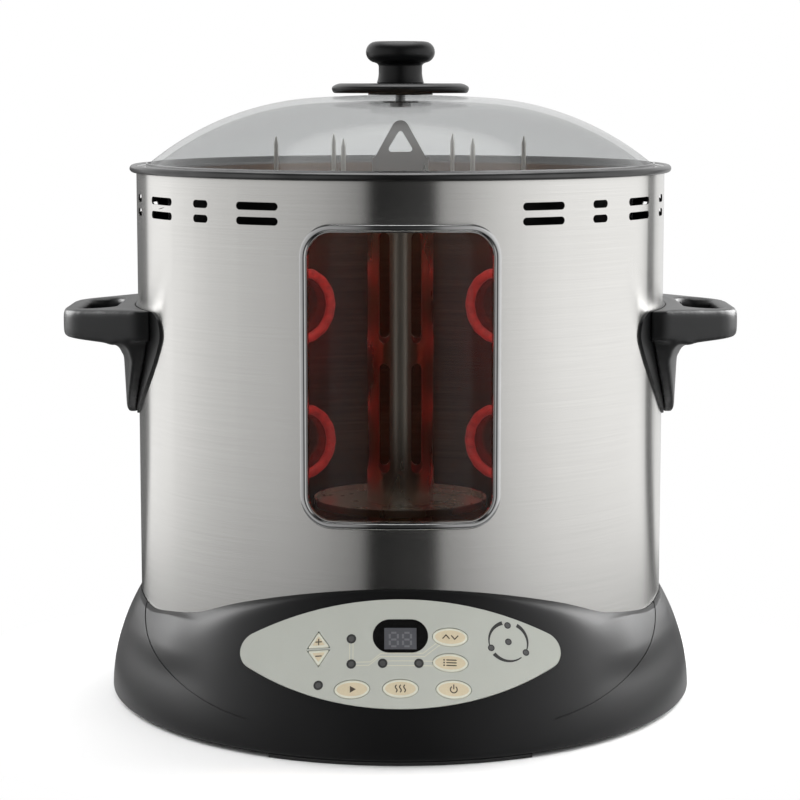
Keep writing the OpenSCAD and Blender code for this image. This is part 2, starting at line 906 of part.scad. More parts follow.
module liner() {
    color("#8a8177") on_axis() difference() {
        union() {
            ring(liner_out, hub_r + bush_wall + fixed_gap, liner_floor, liner_deck);
            ring(liner_out, liner_r, liner_deck - eps, drum_top);
            ring(drum_r - sheet - 0.4, liner_r, drum_top - flange_t, drum_top);
        }
        translate([0, -liner_r / 2, window_mid]) rotate([90, 0, 0]) linear_extrude(far)
            round_rect(inner_window_w, inner_window_h, window_r);
        at_heater_tails() translate([liner_r - 5, 0, 0]) rotate([0, 90, 0])
            cylinder(r = bushing_r - 1.8, h = 12, $fn = 32);
        for (a = [45 : 90 : 315]) rotate(a) translate([liner_post_at, 0, 0])
            rod(clear_r, liner_floor - 1, liner_deck + 1, $fn = 24);
    }
}

module liner_posts() {
    color("silver") on_axis() for (a = [45 : 90 : 315]) rotate(a)
        translate([liner_post_at, 0, 0]) {
            rod(liner_post_r, chassis_top, liner_floor, $fn = 32);
            rod(clear_r - 0.05, liner_floor - eps, liner_deck, $fn = 24);
        }
}

module thermostat() {
    color("#d9d4c6") on_axis() rotate(200) translate([0.55 * liner_r + 14, 0, 0]) {
        rod(9, liner_floor - 7, liner_floor, $fn = 48);
        for (y = [-1, 1]) translate([-1, y * 4 - 1, liner_floor - 11]) cube([2, 2, 4 + eps]);
    }
}

module vent_slot(angle, z, length) {
    rotate(angle - 90) translate([0, 0, z]) rotate([90, 0, 90])
        translate([0, 0, drum_r - 12]) linear_extrude(24) slot(length, vent_h);
}

// Radial hole for a handle screw
module screw_hole(r) {
    translate([-2, 0, 0]) rotate([0, 90, 0]) cylinder(r = r, h = 11, $fn = 24);
}

// Outline of the clear window inside the bezel
module window_opening(grow) {
    inset = bezel_frame - grow;
    round_rect(window_w - 2 * inset, window_h - 2 * inset, window_r - inset);
}

module drum() {
    color("#c2c1bd") on_axis() difference() {
        union() {
            ring(drum_r, drum_r - sheet, chassis_top, drum_top);
            ring(drum_r - sheet + eps, drum_r - drum_flange, chassis_top, chassis_top + sheet);
        }
        translate([0, 0, window_mid]) rotate([90, 0, 0]) linear_extrude(far)
            window_opening(0);
        for (z = vent_rows) {
            for (a = long_angles) vent_slot(a, z, vent_long);
            for (a = short_angles) vent_slot(a, z, vent_short);
        }
        for (turn = [0, 180]) rotate(turn) at_screws() screw_hole(handle_screw_r + 0.1);
    }
}

module rim_ring() {
    color("#4a4a4b") on_axis() rotate_extrude($fn = 180) {
        translate([drum_r + 2.1, bead_z]) circle(bead_r, $fn = 32);
        translate([rim_in, drum_top]) square([drum_r + 2.1 - rim_in, rim_web]);
    }
}

module window_bezel() {
    color("#cfd1d2") on_axis() difference() {
        front_shell(drum_r, bezel_out, window_mid) round_rect(window_w, window_h, window_r);
        front_shell(drum_r - 1, glass_out, window_mid)
            window_opening(glass_tuck + 0.2);
        front_shell(drum_r - 1, far, window_mid)
            window_opening(0);
    }
}

module window_seal() {
    color("#5b2e22") on_axis() difference() {
        front_shell(drum_r, seal_out, window_mid)
            window_opening(glass_tuck);
        front_shell(drum_r - 1, far, window_mid)
            window_opening(0.3);
    }
}

module window_glass() {
    color([0.6, 0.55, 0.5, 0.35]) on_axis() front_shell(seal_out, glass_out, window_mid)
        window_opening(glass_tuck);
}

module inner_glass() {
    color([0.6, 0.55, 0.5, 0.35]) on_axis()
        front_shell(liner_out, liner_out + inner_glass_t, window_mid)
            round_rect(inner_window_w + 14, inner_window_h + 12, window_r + 6);
}

// Handles

// Outline of a shield: straight top edge, sides drawing in to a round tip
function shield_point(w, h, share) =
    let (turn = 90 * share) [w * pow(cos(turn), 1.1), -h * pow(sin(turn), 1.25)];
function shield_points(w, h) =
    let (steps = 14)
    concat([for (k = [0 : steps]) shield_point(w, h, k / steps)],
           [for (k = [steps - 1 : -1 : 0]) shield_point(-w, h, k / steps)]);

// Places children at one handle's screws on the drum's inner face, x pointing outwards
module at_screws() {
    for (p = handle_screws_at) rotate(p[0])
        translate([drum_r - sheet, 0, handle_top + p[1]]) children();
}

// Prism through the drum's right side, drawn as seen from outside
module side_prism(top) {
    translate([0, 0, top]) rotate([90, 0, 90]) linear_extrude(far) children();
}

module handle_shields() {
    color("#232325") on_axis() for (turn = [0, 180]) rotate(turn) difference() {
        intersection() {
            ring(drum_r + shield_t, drum_r, 0, far);
            side_prism(handle_top) offset(r = shield_round) offset(delta = -shield_round)
                polygon(shield_points(shield_w, shield_h));
        }
        at_screws() screw_hole(handle_screw_r + 0.1);
    }
}

// Flat loop of a handle, wide at the drum and round at its outer corners
module handle_loop() {
    hull() {
        translate([drum_r - 50, -grip_w, handle_top - grip_t]) cube([45, 2 * grip_w, grip_t]);
        for (y = [-1, 1]) translate([drum_r + handle_reach - bar_r, y * bar_half,
            handle_top - bar_drop - bar_t]) cylinder(r = bar_r, h = bar_t, $fn = 32);
    }
}

// Hollow round under the loop, where it turns down into the leg
module handle_fillet() {
    low = handle_top - grip_t - leg_fillet;
    intersection() {
        translate([0, 0, -leg_fillet]) handle_loop();
        rotate_extrude($fn = 180) difference() {
            translate([drum_r + leg_low, low]) square([leg_fillet + leg_high - leg_low, leg_fillet + 1]);
            translate([drum_r + leg_high + leg_fillet, low]) circle(leg_fillet);
        }
    }
}

module handle() {
    color("#1d1d1f") difference() {
        union() {
            handle_loop();
            intersection() {
                side_prism(handle_top) polygon(shield_points(grip_w, grip_h));
                union() {
                    translate([0, 0, handle_top - grip_h])
                        cylinder(r1 = drum_r + leg_low, r2 = drum_r + leg_high, h = grip_h);
                    handle_fillet();
                }
            }
        }
        translate([drum_r + gap_start + finger_gap / 2, 0, 0]) rotate(90)
            linear_extrude(far) slot(2 * gap_half, finger_gap);
        rod(grip_seat_r, 0, far);
        at_screws() screw_hole(handle_screw_r);
    }
}

module handle_right() { on_axis() handle(); }
module handle_left() { on_axis() rotate(180) handle(); }

module handle_screws() {
    color("silver") on_axis() for (turn = [0, 180]) rotate(turn) at_screws()
        translate([-0.06, 0, 0]) rotate([0, -90, 0]) screw(handle_screw_r - 0.05, 8, 4, 2);
}

// Heaters

// Places children at the radial tails of both wall heaters, x pointing outwards
module at_heater_tails() {
    for (side = [0, 1], run = [0, 3]) mirror([side, 0, 0])
        rotate(heater_from) translate([0, -tail_bend, heater_z + run * heater_pitch]) children();
}

// Point given across and along the tangent at an angle round the axis
function spot(angle, x, y, z) =
    [x * cos(angle) - y * sin(angle), x * sin(angle) + y * cos(angle), z];
function run_z(run) = heater_z + run * heater_pitch;
function tail_points(run) = concat(
    [spot(heater_from, tail_end, -tail_bend, run_z(run))],
    [for (k = [0 : 3]) let (a = 270 - 30 * k)
        spot(heater_from, heater_at + tail_bend * (1 + cos(a)), tail_bend * sin(a), run_z(run))]);
function run_points(run, forward) =
    let (steps = 10)
    [for (k = [1 : steps]) let (f = forward ? k / steps : 1 - k / steps)
        spot(heater_from + (heater_to - heater_from) * f, heater_at, 0, run_z(run))];
function bend_points(run, angle, way) =
    [for (k = [1 : 7]) let (a = 22.5 * k - 90)
        spot(angle, heater_at, way * bend_r * cos(a), run_z(run + 0.5) + bend_r * sin(a))];
function reversed(list) = [for (i = [len(list) - 1 : -1 : 0]) list[i]];
heater_path = concat(tail_points(0), run_points(0, true), bend_points(0, heater_to, 1),
    run_points(1, false), bend_points(1, heater_from, -1),
    run_points(2, true), bend_points(2, heater_to, 1),
    run_points(3, false), [for (p = reversed(tail_points(3))) if (p != tail_points(3)[4]) p]);

function unit(v) = v / norm(v);
function carried(tangents, side, i = 0) =
    i == len(tangents) ? []
    : let (next = unit(side - (side * tangents[i]) * tangents[i]))
        concat([next], carried(tangents, next, i + 1));

// Round bar along a path of points
module bar(path, r, count) {
    last = len(path) - 1;
    tangents = [for (i = [0 : last]) unit(path[min(i + 1, last)] - path[max(i - 1, 0)])];
    sides = carried(tangents, [0, 0, 1]);
    loft([for (i = [0 : last]) [for (k = [0 : count - 1]) let (a = 360 * k / count)
        path[i] + r * (cos(a) * sides[i] + sin(a) * cross(tangents[i], sides[i]))]]);
}

module wall_heaters() {
    color("#b5322b") on_axis() for (side = [0, 1]) mirror([side, 0, 0])
        bar(heater_path, heater_r, 10);
}

// Strips on the liner wall with a rest for each run
module heater_clips() {
    rest = heater_at + heater_r + fixed_gap;
    color("#9a9c9e") on_axis() for (side = [0, 1]) mirror([side, 0, 0])
        for (a = clip_angles) rotate(a) intersection() {
            rod(liner_r - slide_gap, 0, far, $fn = 360);
            union() {
                translate([liner_r - clip_t, -clip_w / 2, heater_z - clip_end])
                    cube([2 * clip_t, clip_w, 3 * heater_pitch + 2 * clip_end]);
                for (run = [0 : 3]) translate([rest, -clip_w / 2, run_z(run) - clip_rest_h / 2])
                    cube([liner_r - heater_at, clip_w, clip_rest_h]);
            }
        }
}

// Ceramic sleeves where the heater tails leave the oven
module heater_bushings() {
    color("#e2dccb") on_axis() at_heater_tails() rotate([0, 90, 0]) difference() {
        union() {
            rod(bushing_r, liner_out + 0.2, liner_out + 5, $fn = 32);
            rod(bushing_r - 1.9, liner_r - 1, liner_out + 1, $fn = 32);
        }
        rod(heater_r + fixed_gap, 0, far, $fn = 32);
    }
}

module center_heater() {
    color("#b5322b") on_axis() {
        rod(rod_r, holder_z + 2, rod_top - rod_r, $fn = 48);
        translate([0, 0, rod_top - rod_r]) sphere(rod_r, $fn = 48);
    }
}

// Ceramic foot of the centre heater on a steel bridge under the chassis
module heater_holder() {
    color("#e2dccb") on_axis() {
        difference() {
            rod(holder_r, holder_z, holder_z + holder_h);
            rod(rod_r + fixed_gap, holder_z + 2, far, $fn = 48);
        }
        translate([-bracket_half, -10, holder_z - bracket_t])
            cube([2 * bracket_half, 20, bracket_t]);
        for (x = [-1, 1]) translate([x * (bracket_half - bracket_t / 2) - bracket_t / 2, -10,
            holder_z - eps]) cube([bracket_t, 20, deck_z - holder_z + eps]);
    }
}

// Lid

function dome_arc(at, r, from, to, steps) =
    [for (k = [0 : steps]) let (a = from + (to - from) * k / steps) at + r * [sin(a), cos(a)]];

module lid_glass() {
    edge_angle = asin((glass_r - shoulder_at[0]) / shoulder_r);
    inner_r = shoulder_r - lid_glass_t;
    inner_edge = acos((glass_low - shoulder_at[1]) / inner_r);
    color([0.75, 0.8, 0.8, 0.3]) on_axis() difference() {
        rotate_extrude($fn = 180) polygon(concat(
            dome_arc([0, apex_z - crown_dome_r], crown_dome_r, 0, crown_angle, 4),
            dome_arc(shoulder_at, shoulder_r, crown_angle + 2, edge_angle, 10),
            [[glass_r, glass_low]],
            dome_arc(shoulder_at, inner_r, inner_edge, crown_angle + 2, 10),
            dome_arc([0, apex_z - crown_dome_r], crown_dome_r - lid_glass_t, crown_angle, 0, 4)));
        rod(screw_r + 0.5, 0, far, $fn = 32);
    }
}

// Steel band round the glass, with the shelf that rests on the oven's flange
module lid_band() {
    color("#8d8f90") on_axis() rotate_extrude($fn = 180) {
        translate([lid_r - lid_band_t, drum_top]) square([lid_band_t, 5.2]);
        translate([lid_r - 10, drum_top]) square([10 - lid_band_t / 2, lid_shelf_t]);
    }
}

// Soft washers above and below the glass
module lid_washers() {
    color("#3a3a3c") on_axis() {
        ring(22, screw_r + fixed_gap, apex_z, guard_z);
        ring(12, screw_r + fixed_gap, screw_seat, screw_seat + washer_t);
    }
}

module lid_guard() {
    edge_r = 3;
    color("#1d1d1f") on_axis() translate([0, 0, guard_z]) rotate_extrude() difference() {
        union() {
            square([guard_d / 2 - edge_r, guard_t]);
            square([guard_d / 2, guard_t - edge_r]);
            translate([guard_d / 2 - edge_r, guard_t - edge_r]) circle(edge_r, $fn = 32);
        }
        translate([-eps, -1]) square([screw_r + fixed_gap + eps, guard_t + 2]);
    }
}

module lid_knob() {
    color("#1d1d1f") on_axis() difference() {
        translate([0, 0, knob_z]) rotate_extrude() {
            square([stem_r, knob_h - head_t / 2]);
            translate([0, knob_h - head_t]) square([knob_r - head_t / 2, head_t]);
            intersection() {
                translate([knob_r - head_t / 2, knob_h - head_t / 2]) circle(head_t / 2);
                square([knob_r + 1, knob_h + 1]);
            }
        }
        rod(screw_r + fixed_gap, 0, knob_z + 12, $fn = 32);
    }
}

module lid_screw() {
    color("silver") on_axis() translate([0, 0, screw_seat]) rotate([180, 0, 0])
        screw(screw_r, knob_z + 11 - screw_seat, 7, 3);
}

base_housing();
base_plate();
front_foot();
rear_feet();
base_screws();
control_panel();
display_window();
led_display();
indicator_lights();
key_circuit();
key_up();
key_down();
key_level();
key_function();
key_start();
key_center_heat();
key_power();
control_board();
power_inlet();
inlet_pins();
terminal_block();
chassis_plate();
chassis_screws();
gear_motor();
motor_shaft();
motor_pinion();
turntable_gear();
hub_bushes();
turntable_hub();
turntable();
spit_tube();
meat_plate();
spit_crown();
crown_pins();
spit_cap();
drip_tray();
liner();
liner_posts();
thermostat();
drum();
rim_ring();
window_bezel();
window_seal();
window_glass();
inner_glass();
handle_shields();
handle_left();
handle_right();
handle_screws();
wall_heaters();
heater_clips();
heater_bushings();
center_heater();
heater_holder();
lid_glass();
lid_band();
lid_washers();
lid_guard();
lid_knob();
lid_screw();
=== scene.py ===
import bmesh
import bpy
import math
from mathutils import Matrix, Vector


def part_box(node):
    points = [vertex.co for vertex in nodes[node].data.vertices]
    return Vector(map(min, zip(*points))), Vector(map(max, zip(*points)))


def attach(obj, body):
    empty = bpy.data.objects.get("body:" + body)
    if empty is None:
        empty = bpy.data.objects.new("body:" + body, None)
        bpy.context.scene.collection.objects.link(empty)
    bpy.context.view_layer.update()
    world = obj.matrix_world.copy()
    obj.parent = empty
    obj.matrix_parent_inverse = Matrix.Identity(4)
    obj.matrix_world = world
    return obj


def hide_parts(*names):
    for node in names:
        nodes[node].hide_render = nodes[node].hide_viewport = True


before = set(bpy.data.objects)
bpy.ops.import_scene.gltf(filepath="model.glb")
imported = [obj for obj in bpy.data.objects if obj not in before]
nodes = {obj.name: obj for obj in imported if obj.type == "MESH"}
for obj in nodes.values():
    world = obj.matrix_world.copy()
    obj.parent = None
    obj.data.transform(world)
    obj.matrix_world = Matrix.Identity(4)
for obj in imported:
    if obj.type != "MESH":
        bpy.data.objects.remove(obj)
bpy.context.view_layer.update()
scene = bpy.context.scene
scene.view_settings.view_transform = "Standard"
mm = 0.001

drumLow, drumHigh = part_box("drum")
drumR = (drumHigh.x - drumLow.x) / 2 / mm
axisY = (drumHigh.y + drumLow.y) / 2 / mm  # the drum stands a little behind the middle of the outline
print("frame loaded, drum radius %.2f mm, axis at y %.2f mm" % (drumR, axisY))

# camera at the photograph's angle

cameraPlan = dict(distance=1700, height=415.5, downDegrees=7.31, lens=111.2, shiftX=-0.0005)
cameraData = bpy.data.cameras.new("camera")
cameraData.lens = cameraPlan["lens"]
cameraData.shift_x = cameraPlan["shiftX"]
camera = bpy.data.objects.new("camera", cameraData)
camera.location = (0, (axisY - cameraPlan["distance"]) * mm, cameraPlan["height"] * mm)
camera.rotation_euler = (math.radians(90 - cameraPlan["downDegrees"]), 0, 0)
scene.collection.objects.link(camera)
scene.camera = camera


# shader helpers

class Value:
    def __init__(self, finish, socket):
        self.finish, self.socket = finish, socket

    def math(self, operation, other, flipped=False):
        first, second = (other, self) if flipped else (self, other)
        return self.finish.add("ShaderNodeMath", {"operation": operation}, {0: first, 1: second})

    def __add__(self, other): return self.math("ADD", other)
    def __radd__(self, other): return self.math("ADD", other, True)
    def __sub__(self, other): return self.math("SUBTRACT", other)
    def __rsub__(self, other): return self.math("SUBTRACT", other, True)
    def __mul__(self, other): return self.math("MULTIPLY", other)
    def __rmul__(self, other): return self.math("MULTIPLY", other, True)
    def __truediv__(self, other): return self.math("DIVIDE", other)
    def __pow__(self, other): return self.math("POWER", other)


class Finish:
    def __init__(self, tree, outNode="ShaderNodeOutputMaterial"):
        self.tree = tree
        tree.nodes.clear()
        self.out = tree.nodes.new(outNode)

    def add(self, kind, settings=None, sockets=None, output=0):
        node = self.tree.nodes.new(kind)
        for key, setting in (settings or {}).items():
            if key == "stops":
                while len(node.color_ramp.elements) < len(setting):
                    node.color_ramp.elements.new(0.5)
                for element, (place, colour) in zip(node.color_ramp.elements, setting):
                    element.position, element.color = place, colour
            else:
                setattr(node, key, setting)
        for key, given in (sockets or {}).items():
            if isinstance(given, Value):
                self.tree.links.new(given.socket, node.inputs[key])
            else:
                node.inputs[key].default_value = given
        return Value(self, node.outputs[output])

    def place(self, scale=(1, 1, 1)):
        spot = self.add("ShaderNodeTexCoord", output="Object")
        return self.add("ShaderNodeMapping", {}, {"Vector": spot, "Scale": scale})

    def fromAxis(self):
        # distance from the drum's upright axis
        spot = self.add("ShaderNodeTexCoord", output="Object")
        flat = self.add("ShaderNodeMapping", {}, {"Vector": spot, "Location": (0, -axisY * mm, 0),
                                                  "Scale": (1, 1, 0)})
        return self.add("ShaderNodeVectorMath", {"operation": "LENGTH"}, {0: flat}, output="Value")

    def noise(self, scale, detail=2.0):
        return self.add("ShaderNodeTexNoise", {}, {"Vector": self.place(scale), "Scale": 1.0, "Detail": detail})

    def ramp(self, value, stops):
        return self.add("ShaderNodeValToRGB", {"stops": stops}, {"Fac": value})

    def bump(self, height, strength, distance):
        return self.add("ShaderNodeBump", {}, {"Height": height, "Strength": strength, "Distance": distance})

    def principled(self, sockets):
        return self.add("ShaderNodeBsdfPrincipled", {}, sockets)

    def mix(self, factor, first, second):
        return self.add("ShaderNodeMixShader", {}, {0: factor, 1: first, 2: second})

    def end(self, shader):
        self.tree.links.new(shader.socket, self.out.inputs["Surface"])


def newMaterial(name):
    material = bpy.data.materials.new(name)
    material.use_nodes = True
    return material, Finish(material.node_tree)


def tone(red, green=None, blue=None):
    return (red, red if green is None else green, red if blue is None else blue, 1)


# finishes: metals

def metalFinish(name, dark, light, roughness, spread, grain, bump, anisotropy=0.0, paintedShadeFrom=None, paintedShadeSide=1):
    # the shade radius is in mm, where the hidden side of a round shell begins; there the colour is painted
    # near-black, painted shade of the gap between shells, and the side argument says whether that lies inside or
    # outside the radius
    material, finish = newMaterial(name)
    lines = finish.noise(grain, 3)
    cloud = finish.noise((9, 9, 9), 2)
    level = lines * 0.65 + cloud * 0.35
    sockets = {"Base Color": finish.ramp(level, [(0.3, dark), (0.7, light)]), "Metallic": 1.0,
               "Roughness": roughness + (level - 0.5) * spread,
               "Normal": finish.bump(lines, bump, 0.0002)}
    if anisotropy:
        sockets.update({"Anisotropic": anisotropy, "Anisotropic Rotation": 0.25})
    shader = finish.principled(sockets)
    if paintedShadeFrom:
        # painted shade: a near-black rough finish on the hidden side, standing in for the shade in the gap between
        # shells
        paintedShade = finish.principled({"Base Color": finish.ramp(cloud, [(0.3, tone(0.004)), (0.7, tone(0.010))]),
                                  "Roughness": 0.8})
        shader = finish.mix(finish.fromAxis().math("GREATER_THAN" if paintedShadeSide > 0 else "LESS_THAN", paintedShadeFrom * mm),
                            shader, paintedShade)
    finish.end(shader)
    return material


# the drum's inner side, inside 179.6 mm, is painted near-black: painted shade behind the vents
brushedSteel = metalFinish("brushedSteel", tone(0.78, 0.77, 0.745), tone(0.86, 0.85, 0.825),
                           0.25, 0.05, (12, 12, 2400), 0.025, anisotropy=1.0, paintedShadeFrom=179.6, paintedShadeSide=-1)
bandMetal = metalFinish("bandMetal", tone(0.50), tone(0.62), 0.24, 0.06, (20, 20, 60), 0.01)
bezelChrome = metalFinish("bezelChrome", tone(0.60), tone(0.68), 0.14, 0.04, (60, 60, 60), 0.02)
# the liner's outer side, beyond 158.6 mm, is painted near-black: painted shade behind the vents
ovenSteel = metalFinish("ovenSteel", tone(0.30, 0.19, 0.12), tone(0.50, 0.35, 0.24), 0.24, 0.12,
                        (8, 8, 700), 0.05, paintedShadeFrom=158.6)
spitSteel = metalFinish("spitSteel", tone(0.68, 0.66, 0.61), tone(0.80, 0.78, 0.73), 0.28, 0.10,
                        (40, 40, 12), 0.01)
plainSteel = metalFinish("plainSteel", tone(0.48), tone(0.62), 0.38, 0.12, (240, 240, 240), 0.05)
bronze = metalFinish("bronze", tone(0.42, 0.28, 0.11), tone(0.58, 0.41, 0.19), 0.42, 0.1,
                     (600, 600, 600), 0.08)


def rimFinish(lipFrom):
    # rolled lip outside the drum's radius painted near-black, a painted dark reflection standing in for polished
    # steel mirroring a dark surround; plain steel tone on the pressed ledge inside it
    material, finish = newMaterial("rimMetal")
    cloud = finish.noise((20, 20, 60), 3)
    zones = []
    # the second zone is the lip's painted dark reflection
    for dark, light in ((0.55, 0.68), (0.075, 0.125)):
        zones.append(finish.principled({"Base Color": finish.ramp(cloud, [(0.3, tone(dark)), (0.7, tone(light))]),
                                        "Metallic": 1.0, "Roughness": 0.27 + cloud * 0.06}))
    finish.end(finish.mix(finish.fromAxis().math("GREATER_THAN", lipFrom * mm), *zones))
    return material


rimMetal = rimFinish(drumR)
print("metal finishes ready")


# finishes: plastics, rubber, ceramic

def mouldedFinish(name, dark, light, roughness, spread, grain, bump, specular=0.5):
    material, finish = newMaterial(name)
    pores = finish.noise((grain, grain, grain), 3)
    cloud = finish.noise((25, 25, 25), 2)
    level = pores * 0.5 + cloud * 0.5
    sockets = {"Base Color": finish.ramp(level, [(0.3, dark), (0.7, light)]),
               "Roughness": roughness + (level - 0.5) * spread,
               "Specular IOR Level": specular, "Normal": finish.bump(pores, bump, 0.0003)}
    finish.end(finish.principled(sockets))
    return material


basePlastic = mouldedFinish("basePlastic", tone(0.003, 0.003, 0.0035), tone(0.005, 0.005, 0.0055), 0.45, 0.08, 1500,
                            0.05, specular=0.28)
gripPlastic = mouldedFinish("gripPlastic", tone(0.003, 0.0033, 0.0037), tone(0.006, 0.0063, 0.0068), 0.36, 0.10, 1200,
                            0.06, specular=0.38)
soleRubber = mouldedFinish("soleRubber", tone(0.010), tone(0.018), 0.75, 0.1, 700, 0.2)
panelPaint = mouldedFinish("panelPaint", tone(0.515, 0.535, 0.485), tone(0.555, 0.575, 0.525), 0.45, 0.08, 3000, 0.02)
keyCream = mouldedFinish("keyCream", tone(0.70, 0.60, 0.41), tone(0.76, 0.67, 0.48), 0.5, 0.06, 900, 0.03)
keyBorder = mouldedFinish("keyBorder", tone(0.72, 0.72, 0.60), tone(0.78, 0.78, 0.67), 0.5, 0.06, 900, 0.02)
traceCream = mouldedFinish("traceCream", tone(0.66, 0.65, 0.52), tone(0.72, 0.71, 0.58), 0.5, 0.06, 900, 0.02)
inkBrown = mouldedFinish("inkBrown", tone(0.075, 0.055, 0.035), tone(0.10, 0.075, 0.05), 0.55, 0.06, 900, 0.02)
inkDark = mouldedFinish("inkDark", tone(0.030), tone(0.045), 0.5, 0.06, 900, 0.02)
lampLens = mouldedFinish("lampLens", tone(0.07), tone(0.11), 0.35, 0.06, 900, 0.02)
displayGloss = mouldedFinish("displayGloss", tone(0.004), tone(0.007), 0.12, 0.04, 300, 0.0)
ledGrey = mouldedFinish("ledGrey", tone(0.085, 0.088, 0.10), tone(0.105, 0.108, 0.12), 0.35, 0.06, 900, 0.0)
segmentGrey = mouldedFinish("segmentGrey", tone(0.17, 0.175, 0.19), tone(0.20, 0.205, 0.22), 0.35, 0.06, 900, 0.0)
seamDark = mouldedFinish("seamDark", tone(0.003), tone(0.006), 0.7, 0.06, 900, 0.02)
nylon = mouldedFinish("nylon", tone(0.66, 0.62, 0.50), tone(0.74, 0.70, 0.58), 0.45, 0.1, 400, 0.05)
ceramic = mouldedFinish("ceramic", tone(0.62, 0.59, 0.50), tone(0.72, 0.69, 0.60), 0.6, 0.1, 800, 0.1)
sealRubber = mouldedFinish("sealRubber", tone(0.006), tone(0.012), 0.6, 0.1, 800, 0.1)
boardGreen = mouldedFinish("boardGreen", tone(0.02, 0.09, 0.03), tone(0.03, 0.15, 0.05), 0.4, 0.1, 260, 0.1)


def heaterFinish():
    material, finish = newMaterial("heaterRed")
    scale = finish.noise((220, 220, 220), 3)
    colour = finish.ramp(scale, [(0.3, tone(0.24, 0.014, 0.014)), (0.7, tone(0.42, 0.028, 0.026))])
    finish.end(finish.principled({"Base Color": colour, "Roughness": 0.45 + scale * 0.15,
                                  "Emission Color": colour, "Emission Strength": 0.35,
                                  "Normal": finish.bump(scale, 0.1, 0.0002)}))
    return material


heaterRed = heaterFinish()


# finishes: glass, clear straight on and mirror-like at a glance

def glassFinish(name, tint, gloss, edge, haze):
    material, finish = newMaterial(name)
    facing = finish.add("ShaderNodeLayerWeight", {}, {"Blend": 0.5}, output="Facing")
    smear = finish.noise((35, 35, 20), 2)
    mirror = finish.principled({"Base Color": tone(0.9), "Metallic": 1.0, "Roughness": haze + smear * 0.05})
    clear = finish.add("ShaderNodeBsdfTransparent", {}, {"Color": tint})
    finish.end(finish.mix(gloss + facing ** 5 * edge, clear, mirror))
    return material


windowGlass = glassFinish("windowGlass", tone(0.98, 0.97, 0.96), 0.012, 0.5, 0.02)
lidGlass = glassFinish("lidGlass", tone(0.83, 0.835, 0.835), 0.02, 0.4, 0.12)
print("finishes ready")


# mesh helpers

def roundCorner(bm, corner, radius, segments=6):
    bmesh.ops.bevel(bm, geom=[corner], offset=radius * mm, offset_type="OFFSET", affect="VERTICES",
                    segments=segments, profile=0.5, material=-1, clamp_overlap=True)


def tidy(bm):
    bmesh.ops.remove_doubles(bm, verts=bm.verts[:], dist=1e-7)
    bmesh.ops.recalc_face_normals(bm, faces=bm.faces[:])


def loose(name, bm):
    mesh = bpy.data.meshes.new(name)
    bm.to_mesh(mesh)
    bm.free()
    piece = bpy.data.objects.new(name, mesh)
    scene.collection.objects.link(piece)
    return piece


def finishPiece(piece, materials, body, replaced, sharp=32):
    for material in materials[len(piece.data.materials):]:
        piece.data.materials.append(material)
    for polygon in piece.data.polygons:
        polygon.use_smooth = True
    piece.data.set_sharp_from_angle(angle=math.radians(sharp))
    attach(piece, body)
    if replaced:
        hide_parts(*replaced)
    return piece


def settle(piece):
    shown = piece.evaluated_get(bpy.context.evaluated_depsgraph_get())
    mesh = bpy.data.meshes.new_from_object(shown)
    piece.modifiers.clear()
    piece.data = mesh


def combine(target, tool, way):
    modifier = target.modifiers.new(way, "BOOLEAN")
    modifier.operation, modifier.object, modifier.solver = way, tool, "EXACT"
    settle(target)
    bpy.data.objects.remove(tool)


def toAxis(bm):
    bmesh.ops.translate(bm, verts=bm.verts[:], vec=(0, axisY * mm, 0))


def turned(name, outline, rounds=None, steps=160):
    # outline is radius and height in mm; rounds gives a radius to some of its corners
    bm = bmesh.new()
    corners = [bm.verts.new((r * mm, 0, z * mm)) for r, z in outline]
    bm.faces.new(corners)
    for index, radius in (rounds or {}).items():
        roundCorner(bm, corners[index], radius)
    bmesh.ops.delete(bm, geom=bm.faces[:], context="FACES_ONLY")
    onAxis = [e for e in bm.edges if all(abs(v.co.x) < 1e-7 for v in e.verts)]
    bmesh.ops.delete(bm, geom=onAxis, context="EDGES")
    bmesh.ops.spin(bm, geom=bm.verts[:] + bm.edges[:], cent=(0, 0, 0), axis=(0, 0, 1),
                   angle=2 * math.pi, steps=steps, use_merge=True)
    tidy(bm)
    toAxis(bm)
    return loose(name, bm)


def bow(at, radius, start, end, count):
    steps = [math.radians(start + (end - start) * k / count) for k in range(count + 1)]
    return [(at[0] + radius * math.sin(a), at[1] + radius * math.cos(a)) for a in steps]


# lid: glass dome, guard disc and knob

lidPlan = dict(apex=407.5, crownR=900, crownSpan=60, edgeR=172.5, edgeZ=360.4, seat=357.7, thick=4, hole=3.5)


def makeLidGlass():
    p = lidPlan
    crownAngle = math.asin(p["crownSpan"] / p["crownR"])
    crownEdge = p["apex"] - p["crownR"] * (1 - math.cos(crownAngle))
    across, down = p["edgeR"] - p["crownSpan"], p["edgeZ"] - crownEdge
    shoulder = -(across ** 2 + down ** 2) / (2 * (across * math.sin(crownAngle) + down * math.cos(crownAngle)))
    at = (p["crownSpan"] - shoulder * math.sin(crownAngle), crownEdge - shoulder * math.cos(crownAngle))
    top = (0, p["apex"] - p["crownR"])
    turn = math.degrees(crownAngle)
    edge = math.degrees(math.asin((p["edgeR"] - at[0]) / shoulder))
    inner = shoulder - p["thick"]
    innerEdge = math.degrees(math.acos((p["seat"] - at[1]) / inner))
    start = math.degrees(math.asin(p["hole"] / p["crownR"]))
    outline = bow(top, p["crownR"], start, turn, 8) + bow(at, shoulder, turn + 1, edge, 40)
    outline += [(p["edgeR"], p["seat"])]
    outline += bow(at, inner, innerEdge, turn + 1, 40) + bow(top, p["crownR"] - p["thick"], turn, start, 8)
    piece = turned("lidDome", outline, steps=192)
    return finishPiece(piece, [lidGlass], "lid", ["lid_glass"])


makeLidGlass()

knobPlan = dict(guardZ=408.7, guardT=6.6, guardR=46.8, knobZ=415.3, top=443.7, headR=23.5, stemR=15, bore=3.1)


